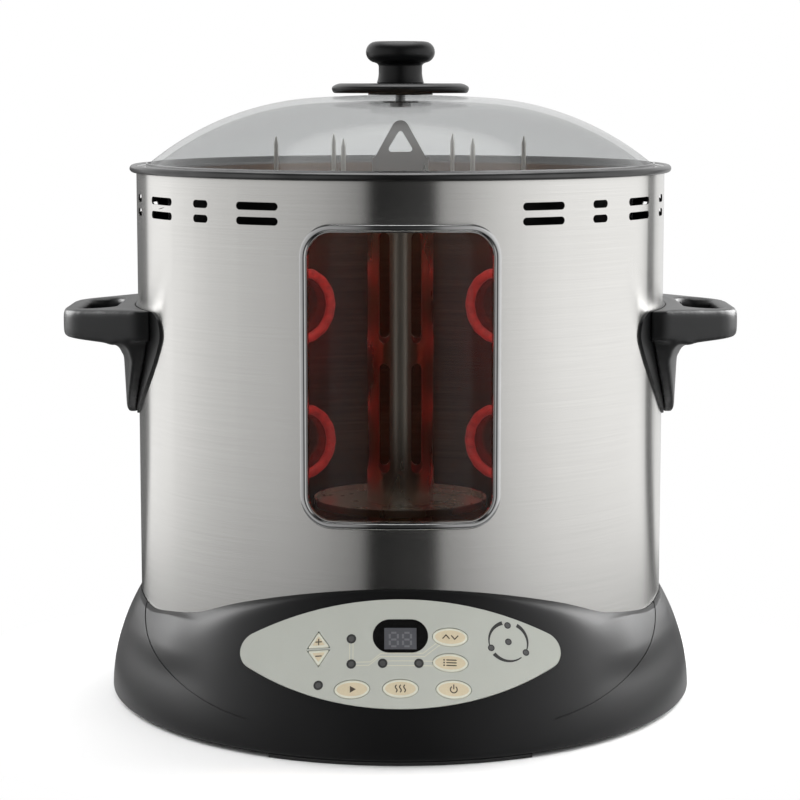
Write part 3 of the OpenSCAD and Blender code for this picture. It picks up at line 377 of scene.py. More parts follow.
def makeKnob():
    p = knobPlan
    low, high, rim = p["guardZ"], p["guardZ"] + p["guardT"], p["guardR"]
    guard = turned("lidGuardDisc", [(p["bore"], low), (rim - 1.2, low), (rim, low + 2.2), (rim, high - 2.4),
                                    (rim - 4, high), (20, high), (18.5, high - 0.6), (p["bore"], high - 0.6)],
                   {1: 1, 2: 1, 3: 2.2, 4: 2.5, 5: 0.6})
    finishPiece(guard, [gripPlastic], "lid", ["lid_guard"])
    z, top, r, stem = p["knobZ"], p["top"], p["headR"], p["stemR"]
    knob = turned("lidKnobGrip", [(p["bore"], z), (stem + 1.2, z), (stem - 0.2, z + 4.5), (stem - 0.2, top - 15.5),
                                  (stem + 2.5, top - 14.4), (r, top - 13.6), (r, top - 0.9), (15.5, top),
                                  (14.3, top - 0.9), (8, top - 0.5), (0, top - 0.5), (0, z + 11.5),
                                  (p["bore"], z + 11.5)],
                  {1: 0.8, 2: 3, 3: 1.6, 5: 6.2, 6: 6.2, 7: 0.8, 8: 0.5, 9: 3})
    finishPiece(knob, [gripPlastic], "lid", ["lid_knob"])


makeKnob()
print("lid ready")

# base housing: flared skirt, leaning console with a soft roll at its top, seat for the drum

basePlan = dict(low=2.5, collar=69.5, sideFlare=20, frontFlare=46.5, consoleTop=101, kneeZ=28, kneeDrop=8.5,
                lip=1.6, consoleR=177, roofR=237.6, roofPitch=16.7, roll=26, leastRoll=0.6, blend=9, leastBlend=0.3,
                seatR=180.3, seatZ=63, holeR=150, wall=3.4, deckLow=60, deckOver=200, dip=4.5, dipAt=67, dipSpan=10,
                drumGap=0.5, sidePower=2, frontPower=1.5, collarFall=300, consoleEnd=86, consoleFade=12,
                rollSpan=(32, 48), besideSpan=(36, 52), blendSpan=(28, 52), searchTop=130, meetSpan=(40, 112),
                meet=0.06, footRows=(0, 0.15, 0.5, 1.1, 1.8), fine=(320, 56), coarse=(96, 24))


def smoothMin(first, second, width):
    return (first + second - math.hypot(first - second, width)) / 2


def ease(value, start, end):
    share = min(1, max(0, (value - start) / (end - start)))
    return share * share * (3 - 2 * share)


def skirtReach(turn, z):
    # turn is the angle from straight ahead; the collar dips a little beside the console
    p = basePlan
    away = abs(math.degrees(turn))
    collar = p["collar"] - p["dip"] * math.exp(-((away - p["dipAt"]) / p["dipSpan"]) ** 2)
    level = max(0, z - p["low"]) / (collar - p["low"])
    inner = drumR + p["drumGap"]
    if level > 1:
        return inner - (level - 1) * p["collarFall"]
    side = inner + (p["sideFlare"] - p["drumGap"]) * (1 - level ** p["sidePower"])
    front = inner + (p["frontFlare"] - p["drumGap"]) * (1 - level ** p["frontPower"])
    return side if away > 90 else 1 / math.hypot(math.sin(turn) / side, math.cos(turn) / front)


def consoleFront(turn, z):
    p = basePlan
    lean = (p["frontFlare"] - p["kneeDrop"] - p["lip"]) / (p["consoleTop"] - p["kneeZ"])
    below = max(0, p["kneeZ"] - z)
    rise = p["kneeZ"] - p["low"]
    bowed = (lean * rise - p["kneeDrop"]) / rise ** 2
    ahead = drumR + p["frontFlare"] - p["kneeDrop"] + lean * (p["kneeZ"] - z) - bowed * below ** 2 - p["consoleR"]
    return ahead * math.cos(turn) + math.sqrt(p["consoleR"] ** 2 - (ahead * math.sin(turn)) ** 2)


def roofReach(turn, z):
    # radius where the sloping, arched roof has this height
    p = basePlan
    pitch = math.radians(p["roofPitch"])
    across, along = math.sin(turn), math.cos(turn)
    reach, least, most = 190.0, 40, 320
    for step in range(6):
        arch = math.sqrt(max(100, p["roofR"] ** 2 - (reach * across) ** 2))
        behind = drumR + p["drumGap"] - reach * along
        height = p["consoleTop"] + (arch - p["roofR"]) / math.cos(pitch) + behind * math.tan(pitch)
        slope = reach * across ** 2 / arch / math.cos(pitch) + along * math.tan(pitch)
        reach = min(most, max(least, reach + (height - z) / slope))
    return reach


def crossing(under, over, below):
    # the height, between two others, where the test stops being true
    for step in range(24):
        z = (under + over) / 2
        under, over = (z, over) if below(z) else (under, z)
    return z


def baseColumn(turn):
    # the outside of the base in one upright cut, as a function of height, and the height where it meets the drum
    p = basePlan
    away = abs(math.degrees(turn))
    end = p["consoleEnd"]
    if away < end:
        top = crossing(p["low"], p["searchTop"], lambda z: consoleFront(turn, z) < roofReach(turn, z))
        room = (consoleFront(turn, top) - p["seatR"]) * (0.6 + 0.6 * ease(away, *p["rollSpan"]))
        roll = min(p["roll"], max(p["leastRoll"], room))
    beside = ease(away, *p["besideSpan"]) * (1 - ease(away, end - p["consoleFade"], end))

    def reach(z):
        skirt = skirtReach(turn, z)
        if away >= end:
            return skirt
        console = smoothMin(consoleFront(turn, z), roofReach(turn, z), roll)
        return -smoothMin(-skirt, -console, p["leastBlend"] + p["blend"] * beside * ease(z, *p["blendSpan"]))

    return reach, crossing(*p["meetSpan"], lambda z: reach(z) > p["seatR"] + p["meet"])


def footRoll(z):
    # quarter round of the lowest edge
    size = basePlan["footRows"][-1]
    share = min(1, max(0, (z - basePlan["low"]) / size))
    return size * (1 - math.sqrt(1 - (1 - share) ** 2))


def boundaryOf(bm):
    return [e for e in bm.edges if e.is_boundary]


def vertsOf(geom):
    return [g for g in geom if isinstance(g, bmesh.types.BMVert)]


def baseSolid(name, inset, segments, rows):
    # the whole base as one surface of revolution with a changing outline; inset gives a smaller closed one
    p = basePlan
    foot = p["footRows"]
    inside = [] if inset else [(p["seatR"], p["seatZ"]), (p["holeR"], p["seatZ"]), (p["holeR"], p["low"])]
    last = rows + len(foot) - 1
    bm = bmesh.new()
    bmesh.ops.create_circle(bm, segments=segments, radius=1)
    ring = bm.edges[:]
    for row in range(last + len(inside)):
        made = bmesh.ops.extrude_edge_only(bm, edges=ring)["geom"]
        ring = [g for g in made if isinstance(g, bmesh.types.BMEdge) and g.is_boundary]
        bmesh.ops.translate(bm, verts=vertsOf(made), vec=(0, 0, 1))
    columns = {}
    for vert in bm.verts:
        turn = math.atan2(vert.co.x, -vert.co.y)
        key = round(turn, 5)
        if key not in columns:
            columns[key] = baseColumn(turn)
        reach, top = columns[key]
        row = round(vert.co.z)
        if row > last:
            radius, z = inside[row - last - 1]
        else:
            share = 1 - (1 - max(0, row - len(foot) + 1) / rows) ** 1.8
            z = p["low"] + (foot[row] if row < len(foot) else foot[-1] + (top - p["low"] - foot[-1]) * share)
            radius = reach(z) - (inset if inset else footRoll(z))
            z -= inset if row >= len(foot) or not inset else 1 + inset
        vert.co = (radius * math.sin(turn) * mm, -radius * math.cos(turn) * mm, z * mm)
    if inset:
        bmesh.ops.edgeloop_fill(bm, edges=boundaryOf(bm))
    else:
        bmesh.ops.bridge_loops(bm, edges=boundaryOf(bm))
    tidy(bm)
    toAxis(bm)
    return loose(name, bm)


def barrel(name, radius, low, high, segments=256):
    bm = bmesh.new()
    bmesh.ops.create_cone(bm, cap_ends=True, segments=segments, radius1=radius * mm, radius2=radius * mm,
                          depth=(high - low) * mm)
    bmesh.ops.translate(bm, verts=bm.verts[:], vec=(0, axisY * mm, (low + high) / 2 * mm))
    return loose(name, bm)


def block(name, low, high):
    bm = bmesh.new()
    bmesh.ops.create_cube(bm, size=1)
    bmesh.ops.scale(bm, verts=bm.verts[:], vec=[(h - l) * mm for l, h in zip(low, high)])
    bmesh.ops.translate(bm, verts=bm.verts[:], vec=[(h + l) / 2 * mm for l, h in zip(low, high)])
    return loose(name, bm)


# control panel: a lens-shaped plate on the leaning front, bent round an upright curve

panelPlan = dict(origin=(0, -199.8, 64.5), up=(0, 0.446233, 0.894917), out=(0, -0.894917, 0.446233), bendR=197.78,
                 half=112, top=34.5, low=-35, endV=11, endR=12)
panelOrigin = Vector(panelPlan["origin"]) + Vector((0, axisY, 0))
panelUp, panelOut = Vector(panelPlan["up"]), Vector(panelPlan["out"])


def onPanel(u, v, lift):
    bend = panelPlan["bendR"]
    w = math.sqrt((bend + lift) ** 2 - u ** 2) - bend
    return (panelOrigin + Vector((u, 0, 0)) + panelUp * v + panelOut * w) * mm


def layOnPanel(bm):
    # vertices are drawn flat in mm: across, up, lift
    for vert in bm.verts:
        vert.co = onPanel(*vert.co)


def lensOutline(grow):
    p = panelPlan
    rise, sink = p["top"] - p["endV"], p["endV"] - p["low"]
    topR = (p["half"] ** 2 + rise ** 2) / (2 * rise)
    lowR = (p["half"] ** 2 + sink ** 2) / (2 * sink)
    topAt, lowAt = p["top"] - topR, p["low"] + lowR
    inTop, inLow = topR - p["endR"], lowR - p["endR"]
    tipV = (inTop ** 2 - inLow ** 2 + lowAt ** 2 - topAt ** 2) / (2 * (lowAt - topAt))
    tipU = math.sqrt(inTop ** 2 - (tipV - topAt) ** 2)
    topTurn = math.degrees(math.atan2(tipU, tipV - topAt))
    lowTurn = math.degrees(math.atan2(tipU, lowAt - tipV))
    points = bow((0, topAt), topR + grow, -topTurn, topTurn, 48)
    points += bow((tipU, tipV), p["endR"] + grow, topTurn, 180 - lowTurn, 16)[1:]
    points += bow((0, lowAt), lowR + grow, 180 - lowTurn, 180 + lowTurn, 48)[1:]
    points += bow((-tipU, tipV), p["endR"] + grow, 180 + lowTurn, 360 - topTurn, 16)[1:-1]
    return points


pocketPlan = dict(gap=0.3, floor=-2, rise=24, ledge=1.7, deep=16)


def lensFace(bm):
    p = pocketPlan
    return bm.faces.new([bm.verts.new((u, v, p["floor"])) for u, v in lensOutline(p["gap"])])


def pocketTool():
    p = pocketPlan
    bm = bmesh.new()
    rim = lensFace(bm)
    top = bmesh.ops.extrude_face_region(bm, geom=[rim])["geom"]
    bmesh.ops.translate(bm, verts=vertsOf(top), vec=(0, 0, p["rise"]))
    floor = lensFace(bm)
    bmesh.ops.inset_region(bm, faces=[floor], thickness=p["ledge"], use_even_offset=True, use_boundary=True)
    deep = bmesh.ops.extrude_face_region(bm, geom=[floor])["geom"]
    bmesh.ops.translate(bm, verts=vertsOf(deep), vec=(0, 0, -p["deep"]))
    bmesh.ops.delete(bm, geom=[floor] + ([rim] if rim.is_valid else []), context="FACES_ONLY")
    bmesh.ops.remove_doubles(bm, verts=bm.verts[:], dist=1e-4)
    layOnPanel(bm)
    bmesh.ops.recalc_face_normals(bm, faces=bm.faces[:])
    return loose("pocketTool", bm)


seamPlan = dict(middle=70, side=101.5, z=66, drop=46.5, top=69, end=75, width=0.8, deep=0.5, front=-240, back=-20)


def seamTool(side):
    # a bent blade on an elliptic course, kept only where it stands in the outer half millimetre
    p = seamPlan
    angles = [math.radians(p["end"] * k / 40) for k in range(41)]
    bm = bmesh.new()
    for edge in (-p["width"] / 2, p["width"] / 2):
        bm.verts.new((side * (p["middle"] + p["side"] + edge) * mm, p["front"] * mm, p["top"] * mm))
        for a in angles:
            bm.verts.new((side * (p["middle"] + (p["side"] + edge) * math.cos(a)) * mm, p["front"] * mm,
                          (p["z"] - (p["drop"] + edge) * math.sin(a)) * mm))
    verts = bm.verts[:]
    count = len(verts) // 2
    strip = [bm.faces.new((verts[k], verts[k + 1], verts[count + k + 1], verts[count + k])) for k in range(count - 1)]
    made = bmesh.ops.extrude_face_region(bm, geom=strip)["geom"]
    bmesh.ops.translate(bm, verts=vertsOf(made), vec=(0, (p["back"] - p["front"]) * mm, 0))
    for face in bm.faces:
        face.material_index = 1
    tidy(bm)
    toAxis(bm)
    return loose("seamTool", bm)


inletPlan = dict(y=187, z=30, width=38, height=24, deepWidth=30, deepHeight=18, deep=26, through=40)


def makeBase():
    p, i = basePlan, inletPlan
    housing = baseSolid("baseShell", 0, *p["fine"])
    blades = [seamTool(side) for side in (-1, 1)]
    for piece in (housing, *blades):
        for material in (basePlastic, seamDark):
            piece.data.materials.append(material)
    for blade in blades:
        combine(blade, baseSolid("seamDepth", seamPlan["deep"], *p["fine"]), "DIFFERENCE")
        combine(housing, blade, "DIFFERENCE")
    hollow = baseSolid("hollowTool", p["wall"], *p["coarse"])
    combine(hollow, barrel("keepRear", p["seatR"] + p["wall"], p["deckLow"], p["deckOver"]), "DIFFERENCE")
    combine(housing, hollow, "DIFFERENCE")
    combine(housing, pocketTool(), "DIFFERENCE")
    back = axisY + i["y"]
    for name, wide, high, start in (("inletMouth", i["width"], i["height"], back),
                                    ("inletDeep", i["deepWidth"], i["deepHeight"], back - i["deep"])):
        low, top = (-wide / 2, start, i["z"] - high / 2), (wide / 2, back + i["through"], i["z"] + high / 2)
        combine(housing, block(name, low, top), "DIFFERENCE")
    return finishPiece(housing, [], "base", ["base_housing"], sharp=20)


baseShell = makeBase()
print("base ready")


# prints on the panel: thin flat shapes lifted a hair off the surface

def bar(bm, start, end, width, lift, index=0):
    begin, finishPoint = Vector((*start, lift)), Vector((*end, lift))
    along = finishPoint - begin
    turn = math.atan2(along.y, along.x)
    place = Matrix.Translation((begin + finishPoint) / 2) @ Matrix.Rotation(turn, 4, "Z") @ \
        Matrix.Diagonal((along.length / 2, width / 2, 1, 1))
    cuts = max(1, round(along.length / 4))
    made = bmesh.ops.create_grid(bm, x_segments=cuts, y_segments=1, size=1, matrix=place)["verts"]
    for face in {f for v in made for f in v.link_faces}:
        face.material_index = index


def dot(bm, at, radius, lift, index=0, segments=32, turn=0.0):
    place = Matrix.Translation((*at, lift)) @ Matrix.Rotation(math.radians(turn), 4, "Z")
    made = bmesh.ops.create_circle(bm, cap_ends=True, segments=segments, radius=radius, matrix=place)["verts"]
    for face in {f for v in made for f in v.link_faces}:
        face.material_index = index


def path(bm, points, width, lift, index=0):
    for start, end in zip(points, points[1:]):
        bar(bm, start, end, width, lift, index)
    for point in points:
        dot(bm, point, width / 2, lift, index, segments=16)


def arc(bm, at, radius, width, start, end, lift, index=0, taper=0.0):
    # a swept band; taper thins it towards its end
    old = set(bm.verts)
    first = [bm.verts.new((radius + side * width / 2, 0, lift)) for side in (-1, 1)]
    geom = first + [bm.edges.new(first)]
    bmesh.ops.spin(bm, geom=geom, cent=(0, 0, 0), axis=(0, 0, 1), angle=math.radians(end - start), steps=24)
    fresh = [v for v in bm.verts if v not in old]
    for vert in fresh:
        reach, turn = math.hypot(vert.co.x, vert.co.y), abs(math.degrees(math.atan2(vert.co.y, vert.co.x)))
        reach = radius + (reach - radius) * (1 - taper * turn / abs(end - start))
        flat = Vector((vert.co.x, vert.co.y, 0)).normalized() * reach
        vert.co = (flat.x, flat.y, lift)
    place = Matrix.Translation((*at, 0)) @ Matrix.Rotation(math.radians(start), 4, "Z")
    bmesh.ops.transform(bm, matrix=place, verts=fresh)
    for face in {f for v in fresh for f in v.link_faces}:
        face.material_index = index


def faceOutward(bm):
    # flat prints all look out of the panel
    bm.normal_update()
    bmesh.ops.reverse_faces(bm, faces=[f for f in bm.faces if f.normal.z < 0])


# double traces, rings round the lights and a ring of three arcs; the third number of a course is its sideways lean
printPlan = dict(
    lift=0.44, ringLift=0.48, dotLift=0.46, trace=0.5, pair=1.05, spread=1.4, lightRing=2.35, ringWidth=1.3,
    upright=[(-30.5, 9.8), (-30.5, -6.2)], level=[(-11, -6.2), (22, -6.2)],
    course=[(-30.5, -6.2, 0), (-19, -6.2, 0.4), (-12.5, -0.9, 0.4), (14.5, -0.9, -0.4), (25, 7.5, -0.4)],
    lights=[(-30.5, 9.8), (-30.5, -6.2), (-11, -6.2), (11.5, -6.2), (-51, -18.7)],
    icon=dict(at=(67.6, 10.2), radius=12.3, width=2.5, taper=0.75, arcs=((108, 196), (64, -22), (222, 312)),
              ring=(1.75, 0.75), dot=1.5, dots=[(67.2, 20.7), (56.7, 5.5), (78.7, 4.4), (67.6, 10.2)]))


def makeTraces():
    p = printPlan
    bm = bmesh.new()
    for side in (-1, 1):
        shift = side * p["pair"]
        path(bm, [(u + shift, v) for u, v in p["upright"]], p["trace"], p["lift"])
        path(bm, [(u + shift * lean, v + shift) for u, v, lean in p["course"]], p["trace"], p["lift"])
        path(bm, [(u, v + shift * p["spread"]) for u, v in p["level"]], p["trace"], p["lift"])
    faceOutward(bm)
    layOnPanel(bm)
    finishPiece(loose("panelTraces", bm), [traceCream], "base", [])
    bm = bmesh.new()
    for at in p["lights"]:
        arc(bm, at, p["lightRing"], p["ringWidth"], 0, 360, p["ringLift"])
    icon = p["icon"]
    for start, end in icon["arcs"]:
        arc(bm, icon["at"], icon["radius"], icon["width"], start, end, p["lift"], taper=icon["taper"])
    for at in icon["dots"]:
        arc(bm, at, *icon["ring"], 0, 360, p["dotLift"])
        dot(bm, at, icon["dot"], p["dotLift"], index=1)
    faceOutward(bm)
    layOnPanel(bm)
    finishPiece(loose("panelMarks", bm), [inkDark, lampLens], "base", [])


makeTraces()

displayPlan = dict(at=(0, 9.4), size=(20, 13.6), lift=0.53, inkLift=0.56, digit=(5.0, 8.6), stroke=1.25, pitch=8.2,
                   drop=0.6, sideGap=0.9, endGap=0.8, midGap=0.7)


def makeDigits():
    p = displayPlan
    bm = bmesh.new()
    u, v = p["at"]
    wide, high = p["size"]
    bar(bm, (u - wide / 2, v), (u + wide / 2, v), high, p["lift"])
    half, tall = p["digit"][0] / 2, p["digit"][1] / 2
    v -= p["drop"]
    draw = dict(width=p["stroke"], lift=p["inkLift"], index=1)
    for middle in (u - p["pitch"] / 2, u + p["pitch"] / 2):
        for level in (v - tall, v, v + tall):
            bar(bm, (middle - half + p["sideGap"], level), (middle + half - p["sideGap"], level), **draw)
        for across in (middle - half, middle + half):
            for low, high in ((p["endGap"] - tall, -p["midGap"]), (p["midGap"], tall - p["endGap"])):
                bar(bm, (across, v + low), (across, v + high), **draw)
    faceOutward(bm)
    layOnPanel(bm)
    finishPiece(loose("displayDigits", bm), [ledGrey, segmentGrey], "base", [])


makeDigits()

# keys: soft caps with a pale border, a cream face and a pictogram

keyPlan = dict(wide=22, high=11.6, arrowWide=13.8, arrowHigh=10.2, corner=1.3, back=-3.2, ink=0.66, stroke=0.75,
               borderRings=5, slices=8, arrowSlices=4, slice=1.4, offset=0.01,
               steps=[(0.02, 3.35), (0.22, 0.26), (0.32, 0.14), (0.40, 0.05), (0.55, 0.0), (0.25, -0.10), (0.3, 0.05),
                      (0.5, 0.05)])
keyPlaces = dict(key_up=(-51, 10.2), key_down=(-51, -1.6), key_level=(31, 10.9), key_function=(31, -5.4),
                 key_start=(-30, -22.2), key_center_heat=(0, -22.2), key_power=(33, -22.2))
arrowKeys = ("key_up", "key_down")


def keyFace(bm, node, at):
    # the flat outline, its middle and its half sizes
    p = keyPlan
    if node in arrowKeys:
        way = 1 if node == "key_up" else -1
        half, tall = p["arrowWide"] / 2, p["arrowHigh"] / 2
        corners = [bm.verts.new((at[0] + x, at[1] + way * y, p["back"])) for x, y in
                   ((-half, -tall), (half, -tall), (0, tall))]
        bm.faces.new(corners)
        bmesh.ops.bevel(bm, geom=corners, offset=p["corner"], offset_type="OFFSET", affect="VERTICES", segments=5,
                        profile=0.5, material=-1)
        inner = 2 * half * tall / (half + math.hypot(half, 2 * tall))
        return bm.faces[:][0], (at[0], at[1] + way * (inner - tall)), (inner, inner)
    place = Matrix.Translation((*at, p["back"])) @ Matrix.Diagonal((p["wide"] / 2, p["high"] / 2, 1, 1))
    bmesh.ops.create_circle(bm, cap_ends=True, segments=64, radius=1, matrix=place)
    return bm.faces[:][0], at, (p["wide"] / 2, p["high"] / 2)


def pictogram(bm, node, at):
    u, v = at
    lift = keyPlan["ink"]
    draw = dict(width=keyPlan["stroke"], lift=lift, index=2)
    if node in arrowKeys:
        v += -1.4 if node == "key_up" else 1.4
        path(bm, [(u - 1.7, v), (u + 1.7, v)], **draw)
        if node == "key_up":
            path(bm, [(u, v - 1.7), (u, v + 1.7)], **draw)
    elif node == "key_level":
        path(bm, [(u - 4.6, v - 0.9), (u - 2.6, v + 1.3), (u - 0.6, v - 0.9)], **draw)
        path(bm, [(u + 0.8, v + 0.9), (u + 2.8, v - 1.3), (u + 4.8, v + 0.9)], **draw)
    elif node == "key_function":
        for row in (-1.7, 0, 1.7):
            path(bm, [(u - 2.2, v + row), (u + 3.6, v + row)], **draw)
            dot(bm, (u - 3.9, v + row), 0.55, lift, 2, segments=16)
    elif node == "key_start":
        dot(bm, (u, v), 2.5, lift, 2, segments=3, turn=-90)
    elif node == "key_center_heat":
        for column in (-2.6, 0, 2.6):
            wave = [(u + column + 0.55 * math.sin(k * math.pi / 4), v - 2.1 + 4.2 * k / 8) for k in range(9)]
            path(bm, wave, **draw)
    else:
        arc(bm, (u, v), 2.1, start=125, end=415, **draw)
        path(bm, [(u, v + 0.4), (u, v + 2.8)], **draw)


def makeKey(node, at):
    p = keyPlan
    bm = bmesh.new()
    face, middle, reach = keyFace(bm, node, at)
    bm.normal_update()
    if face.normal.z < 0:
        bmesh.ops.reverse_faces(bm, faces=[face])
    rings = []
    for thickness, depth in p["steps"]:
        made = bmesh.ops.inset_region(bm, faces=[face], thickness=1e-5, depth=depth, use_boundary=True)
        rings.append(made["faces"])
        for vert in face.verts:  # drawn in evenly towards the middle
            for axis in (0, 1):
                vert.co[axis] += (middle[axis] - vert.co[axis]) * thickness / reach[axis]
        reach = [part - thickness for part in reach]
    for ring in rings[:p["borderRings"]]:
        for side in ring:
            side.material_index = 1
    bmesh.ops.edgeloop_fill(bm, edges=boundaryOf(bm))
    count = p["arrowSlices"] if node in arrowKeys else p["slices"]
    for k in range(1 - count, count):  # cut in slices so that it can bend with the panel
        geom = bm.verts[:] + bm.edges[:] + bm.faces[:]
        bmesh.ops.bisect_plane(bm, geom=geom, plane_co=(at[0] + k * p["slice"] + p["offset"], 0, 0),
                               plane_no=(1, 0, 0))
    bmesh.ops.recalc_face_normals(bm, faces=bm.faces[:])
    marks = bmesh.new()
    pictogram(marks, node, at)
    faceOutward(marks)
    sheet = bpy.data.meshes.new("marks")
    marks.to_mesh(sheet)
    marks.free()
    bm.from_mesh(sheet)
    bpy.data.meshes.remove(sheet)
    layOnPanel(bm)
    finishPiece(loose(node + "_cap", bm), [keyCream, keyBorder, inkBrown], node, [node], sharp=40)


for node, at in keyPlaces.items():
    makeKey(node, at)
print("panel and keys ready")

# window bezel: a pressed frame wrapped round the drum

bezelPlan = dict(wide=126.5, high=190.8, corner=21, middleZ=234.1, back=180.0, longEdge=40, cuts=30,
                 steps=[(0.02, 2.6), (0.22, 0.75), (0.45, 0.55), (0.7, 0.35), (0.8, 0.12), (0.7, 0.0), (0.6, -0.15),
                        (0.5, -0.35), (0.45, -0.6), (0.4, -0.15), (0.36, -0.05)])


def makeBezel():
    p = bezelPlan
    bm = bmesh.new()
    bmesh.ops.create_grid(bm, x_segments=1, y_segments=1, size=1,
                          matrix=Matrix.Diagonal((p["wide"] / 2, p["high"] / 2, 1, 1)))
    bmesh.ops.bevel(bm, geom=bm.verts[:], offset=p["corner"], offset_type="OFFSET", affect="VERTICES", segments=16,
                    profile=0.5, material=-1)
    long = [e for e in bm.edges if e.calc_length() > p["longEdge"]]
    bmesh.ops.subdivide_edges(bm, edges=long, cuts=p["cuts"])
    face = bm.faces[:][0]
    if face.normal.z < 0:
        bmesh.ops.reverse_faces(bm, faces=[face])
    for thickness, depth in p["steps"]:
        bmesh.ops.inset_region(bm, faces=[face], thickness=thickness, depth=depth, use_even_offset=True,
                               use_boundary=True)
    inner = max(bm.faces, key=lambda f: f.calc_area())
    made = bmesh.ops.extrude_face_region(bm, geom=[inner])["geom"]
    for vert in vertsOf(made):
        vert.co.z = 0
    bmesh.ops.delete(bm, geom=[g for g in made if isinstance(g, bmesh.types.BMFace)], context="FACES_ONLY")
    if inner.is_valid:
        bmesh.ops.delete(bm, geom=[inner], context="FACES_ONLY")
    bmesh.ops.bridge_loops(bm, edges=boundaryOf(bm))
    for vert in bm.verts:
        reach = p["back"] + vert.co.z
        turn = vert.co.x / p["back"]
        vert.co = (reach * math.sin(turn) * mm, (axisY - reach * math.cos(turn)) * mm,
                   (p["middleZ"] + vert.co.y) * mm)
    tidy(bm)
    finishPiece(loose("bezelFrame", bm), [bezelChrome], "base", ["window_bezel"], sharp=60)


makeBezel()
print("bezel ready")


# handles: the constructed loops with a fuller outer bar and soft edges, sharp where they meet the shields

handlePlan = dict(top=266, bar=20, legFrom=24, legTo=70, voxel=1.0, fuller=0.17, fullFrom=184, fullTo=193,
                  softFrom=183, softTo=194, evenRounds=6, softRounds=45, swell=0.7, tuck=0.0034, end=229)


def voxelCopy(name, node, voxel):
    bm = bmesh.new()
    bm.from_mesh(nodes[node].data)
    tidy(bm)
    piece = loose(name, bm)
    remesh = piece.modifiers.new("remesh", "REMESH")
    remesh.mode, remesh.voxel_size = "VOXEL", voxel * mm
    settle(piece)
    return piece


def relax(piece, rounds, part=""):
    smooth = piece.modifiers.new("smooth", "SMOOTH")
    smooth.factor, smooth.iterations, smooth.vertex_group = 0.5, rounds, part


def swell(piece, by, part=""):
    push = piece.modifiers.new("push", "DISPLACE")
    push.strength, push.mid_level, push.vertex_group = by * mm, 0.0, part


def softHandle(side):
    p = handlePlan
    grip = voxelCopy("handleGrip_" + side, "handle_" + side, p["voxel"])
    group = grip.vertex_groups.new(name="outer")
    for vert in grip.data.vertices:
        away = math.hypot(vert.co.x, vert.co.y - axisY * mm) / mm
        group.add([vert.index], ease(away, p["softFrom"], p["softTo"]), "REPLACE")
        depth = p["top"] - vert.co.z / mm
        lower = p["fuller"] * min(depth, p["bar"]) * (1 - ease(depth, p["legFrom"], p["legTo"]))
        out = abs(vert.co.x) / mm
        vert.co.z -= lower * ease(out, p["fullFrom"], p["fullTo"]) * mm
        vert.co.x *= 1 - p["tuck"] * ease(out, p["fullTo"], p["end"])  # room for the swell
    relax(grip, p["evenRounds"])
    relax(grip, p["softRounds"], "outer")
    swell(grip, p["swell"], "outer")
    settle(grip)
    return finishPiece(grip, [gripPlastic], "base", ["handle_" + side], sharp=60)


grips = [softHandle(side) for side in ("left", "right")]

heaterPlan = dict(voxel=1.0, rounds=24, swell=0.55)


def softHeaters():
    # bent tubes with true round bends
    p = heaterPlan
    tubes = voxelCopy("wallHeaterTubes", "wall_heaters", p["voxel"])
    relax(tubes, p["rounds"])
    swell(tubes, p["swell"])
    settle(tubes)
    finishPiece(tubes, [heaterRed], "base", ["wall_heaters"], sharp=60)


softHeaters()
print("handles and heaters ready")

# every other constructed piece keeps its mesh and gets a finish

nodeFinishes = [
    (basePlastic, "base_plate power_inlet"), (gripPlastic, "handle_shields"), (soleRubber, "front_foot rear_feet"),
    (panelPaint, "control_panel"), (lampLens, "indicator_lights"), (displayGloss, "display_window led_display"),
    (boardGreen, "key_circuit control_board"), (brushedSteel, "drum"), (rimMetal, "rim_ring"),
    (bandMetal, "lid_band"), (ovenSteel, "liner drip_tray turntable turntable_hub heater_clips"),
    (spitSteel, "spit_tube meat_plate spit_crown crown_pins spit_cap"),
    (plainSteel, "chassis_plate chassis_screws base_screws handle_screws lid_screw gear_motor motor_shaft "
                 "liner_posts inlet_pins"),
    (nylon, "turntable_gear motor_pinion"), (bronze, "hub_bushes"),
    (ceramic, "terminal_block thermostat heater_bushings heater_holder"), (heaterRed, "center_heater"),
    (windowGlass, "window_glass inner_glass"), (sealRubber, "window_seal lid_washers")]
for material, names in nodeFinishes:
    for name in names.split():
        nodes[name].data.materials.clear()
        nodes[name].data.materials.append(material)
print("finishes assigned")


# stage: pale floor, white surround and soft studio light

def stageObject(name, bm, material):
    piece = loose(name, bm)
    piece.data.materials.append(material)
    return piece


def surroundRay(finish):
    ray = finish.tree.nodes.new("ShaderNodeLightPath")
    seen = [Value(finish, ray.outputs[name]) for name in ("Is Camera Ray", "Is Glossy Ray", "Is Transmission Ray")]
    return (seen[0] + seen[1] + seen[2]).math("MINIMUM", 1.0)


stagePlan = dict(floorSize=6, fadeFrom=0.235, fadeTo=0.34, ambient=0.5, floorTone=0.90)


def makeWorld():
    world = bpy.data.worlds.new("surround")
    scene.world = world
    world.use_nodes = True
    finish = Finish(world.node_tree, "ShaderNodeOutputWorld")
    strength = surroundRay(finish) * (1 - stagePlan["ambient"]) + stagePlan["ambient"]
    finish.end(finish.add("ShaderNodeBackground", {}, {"Color": tone(1), "Strength": strength}))


makeWorld()


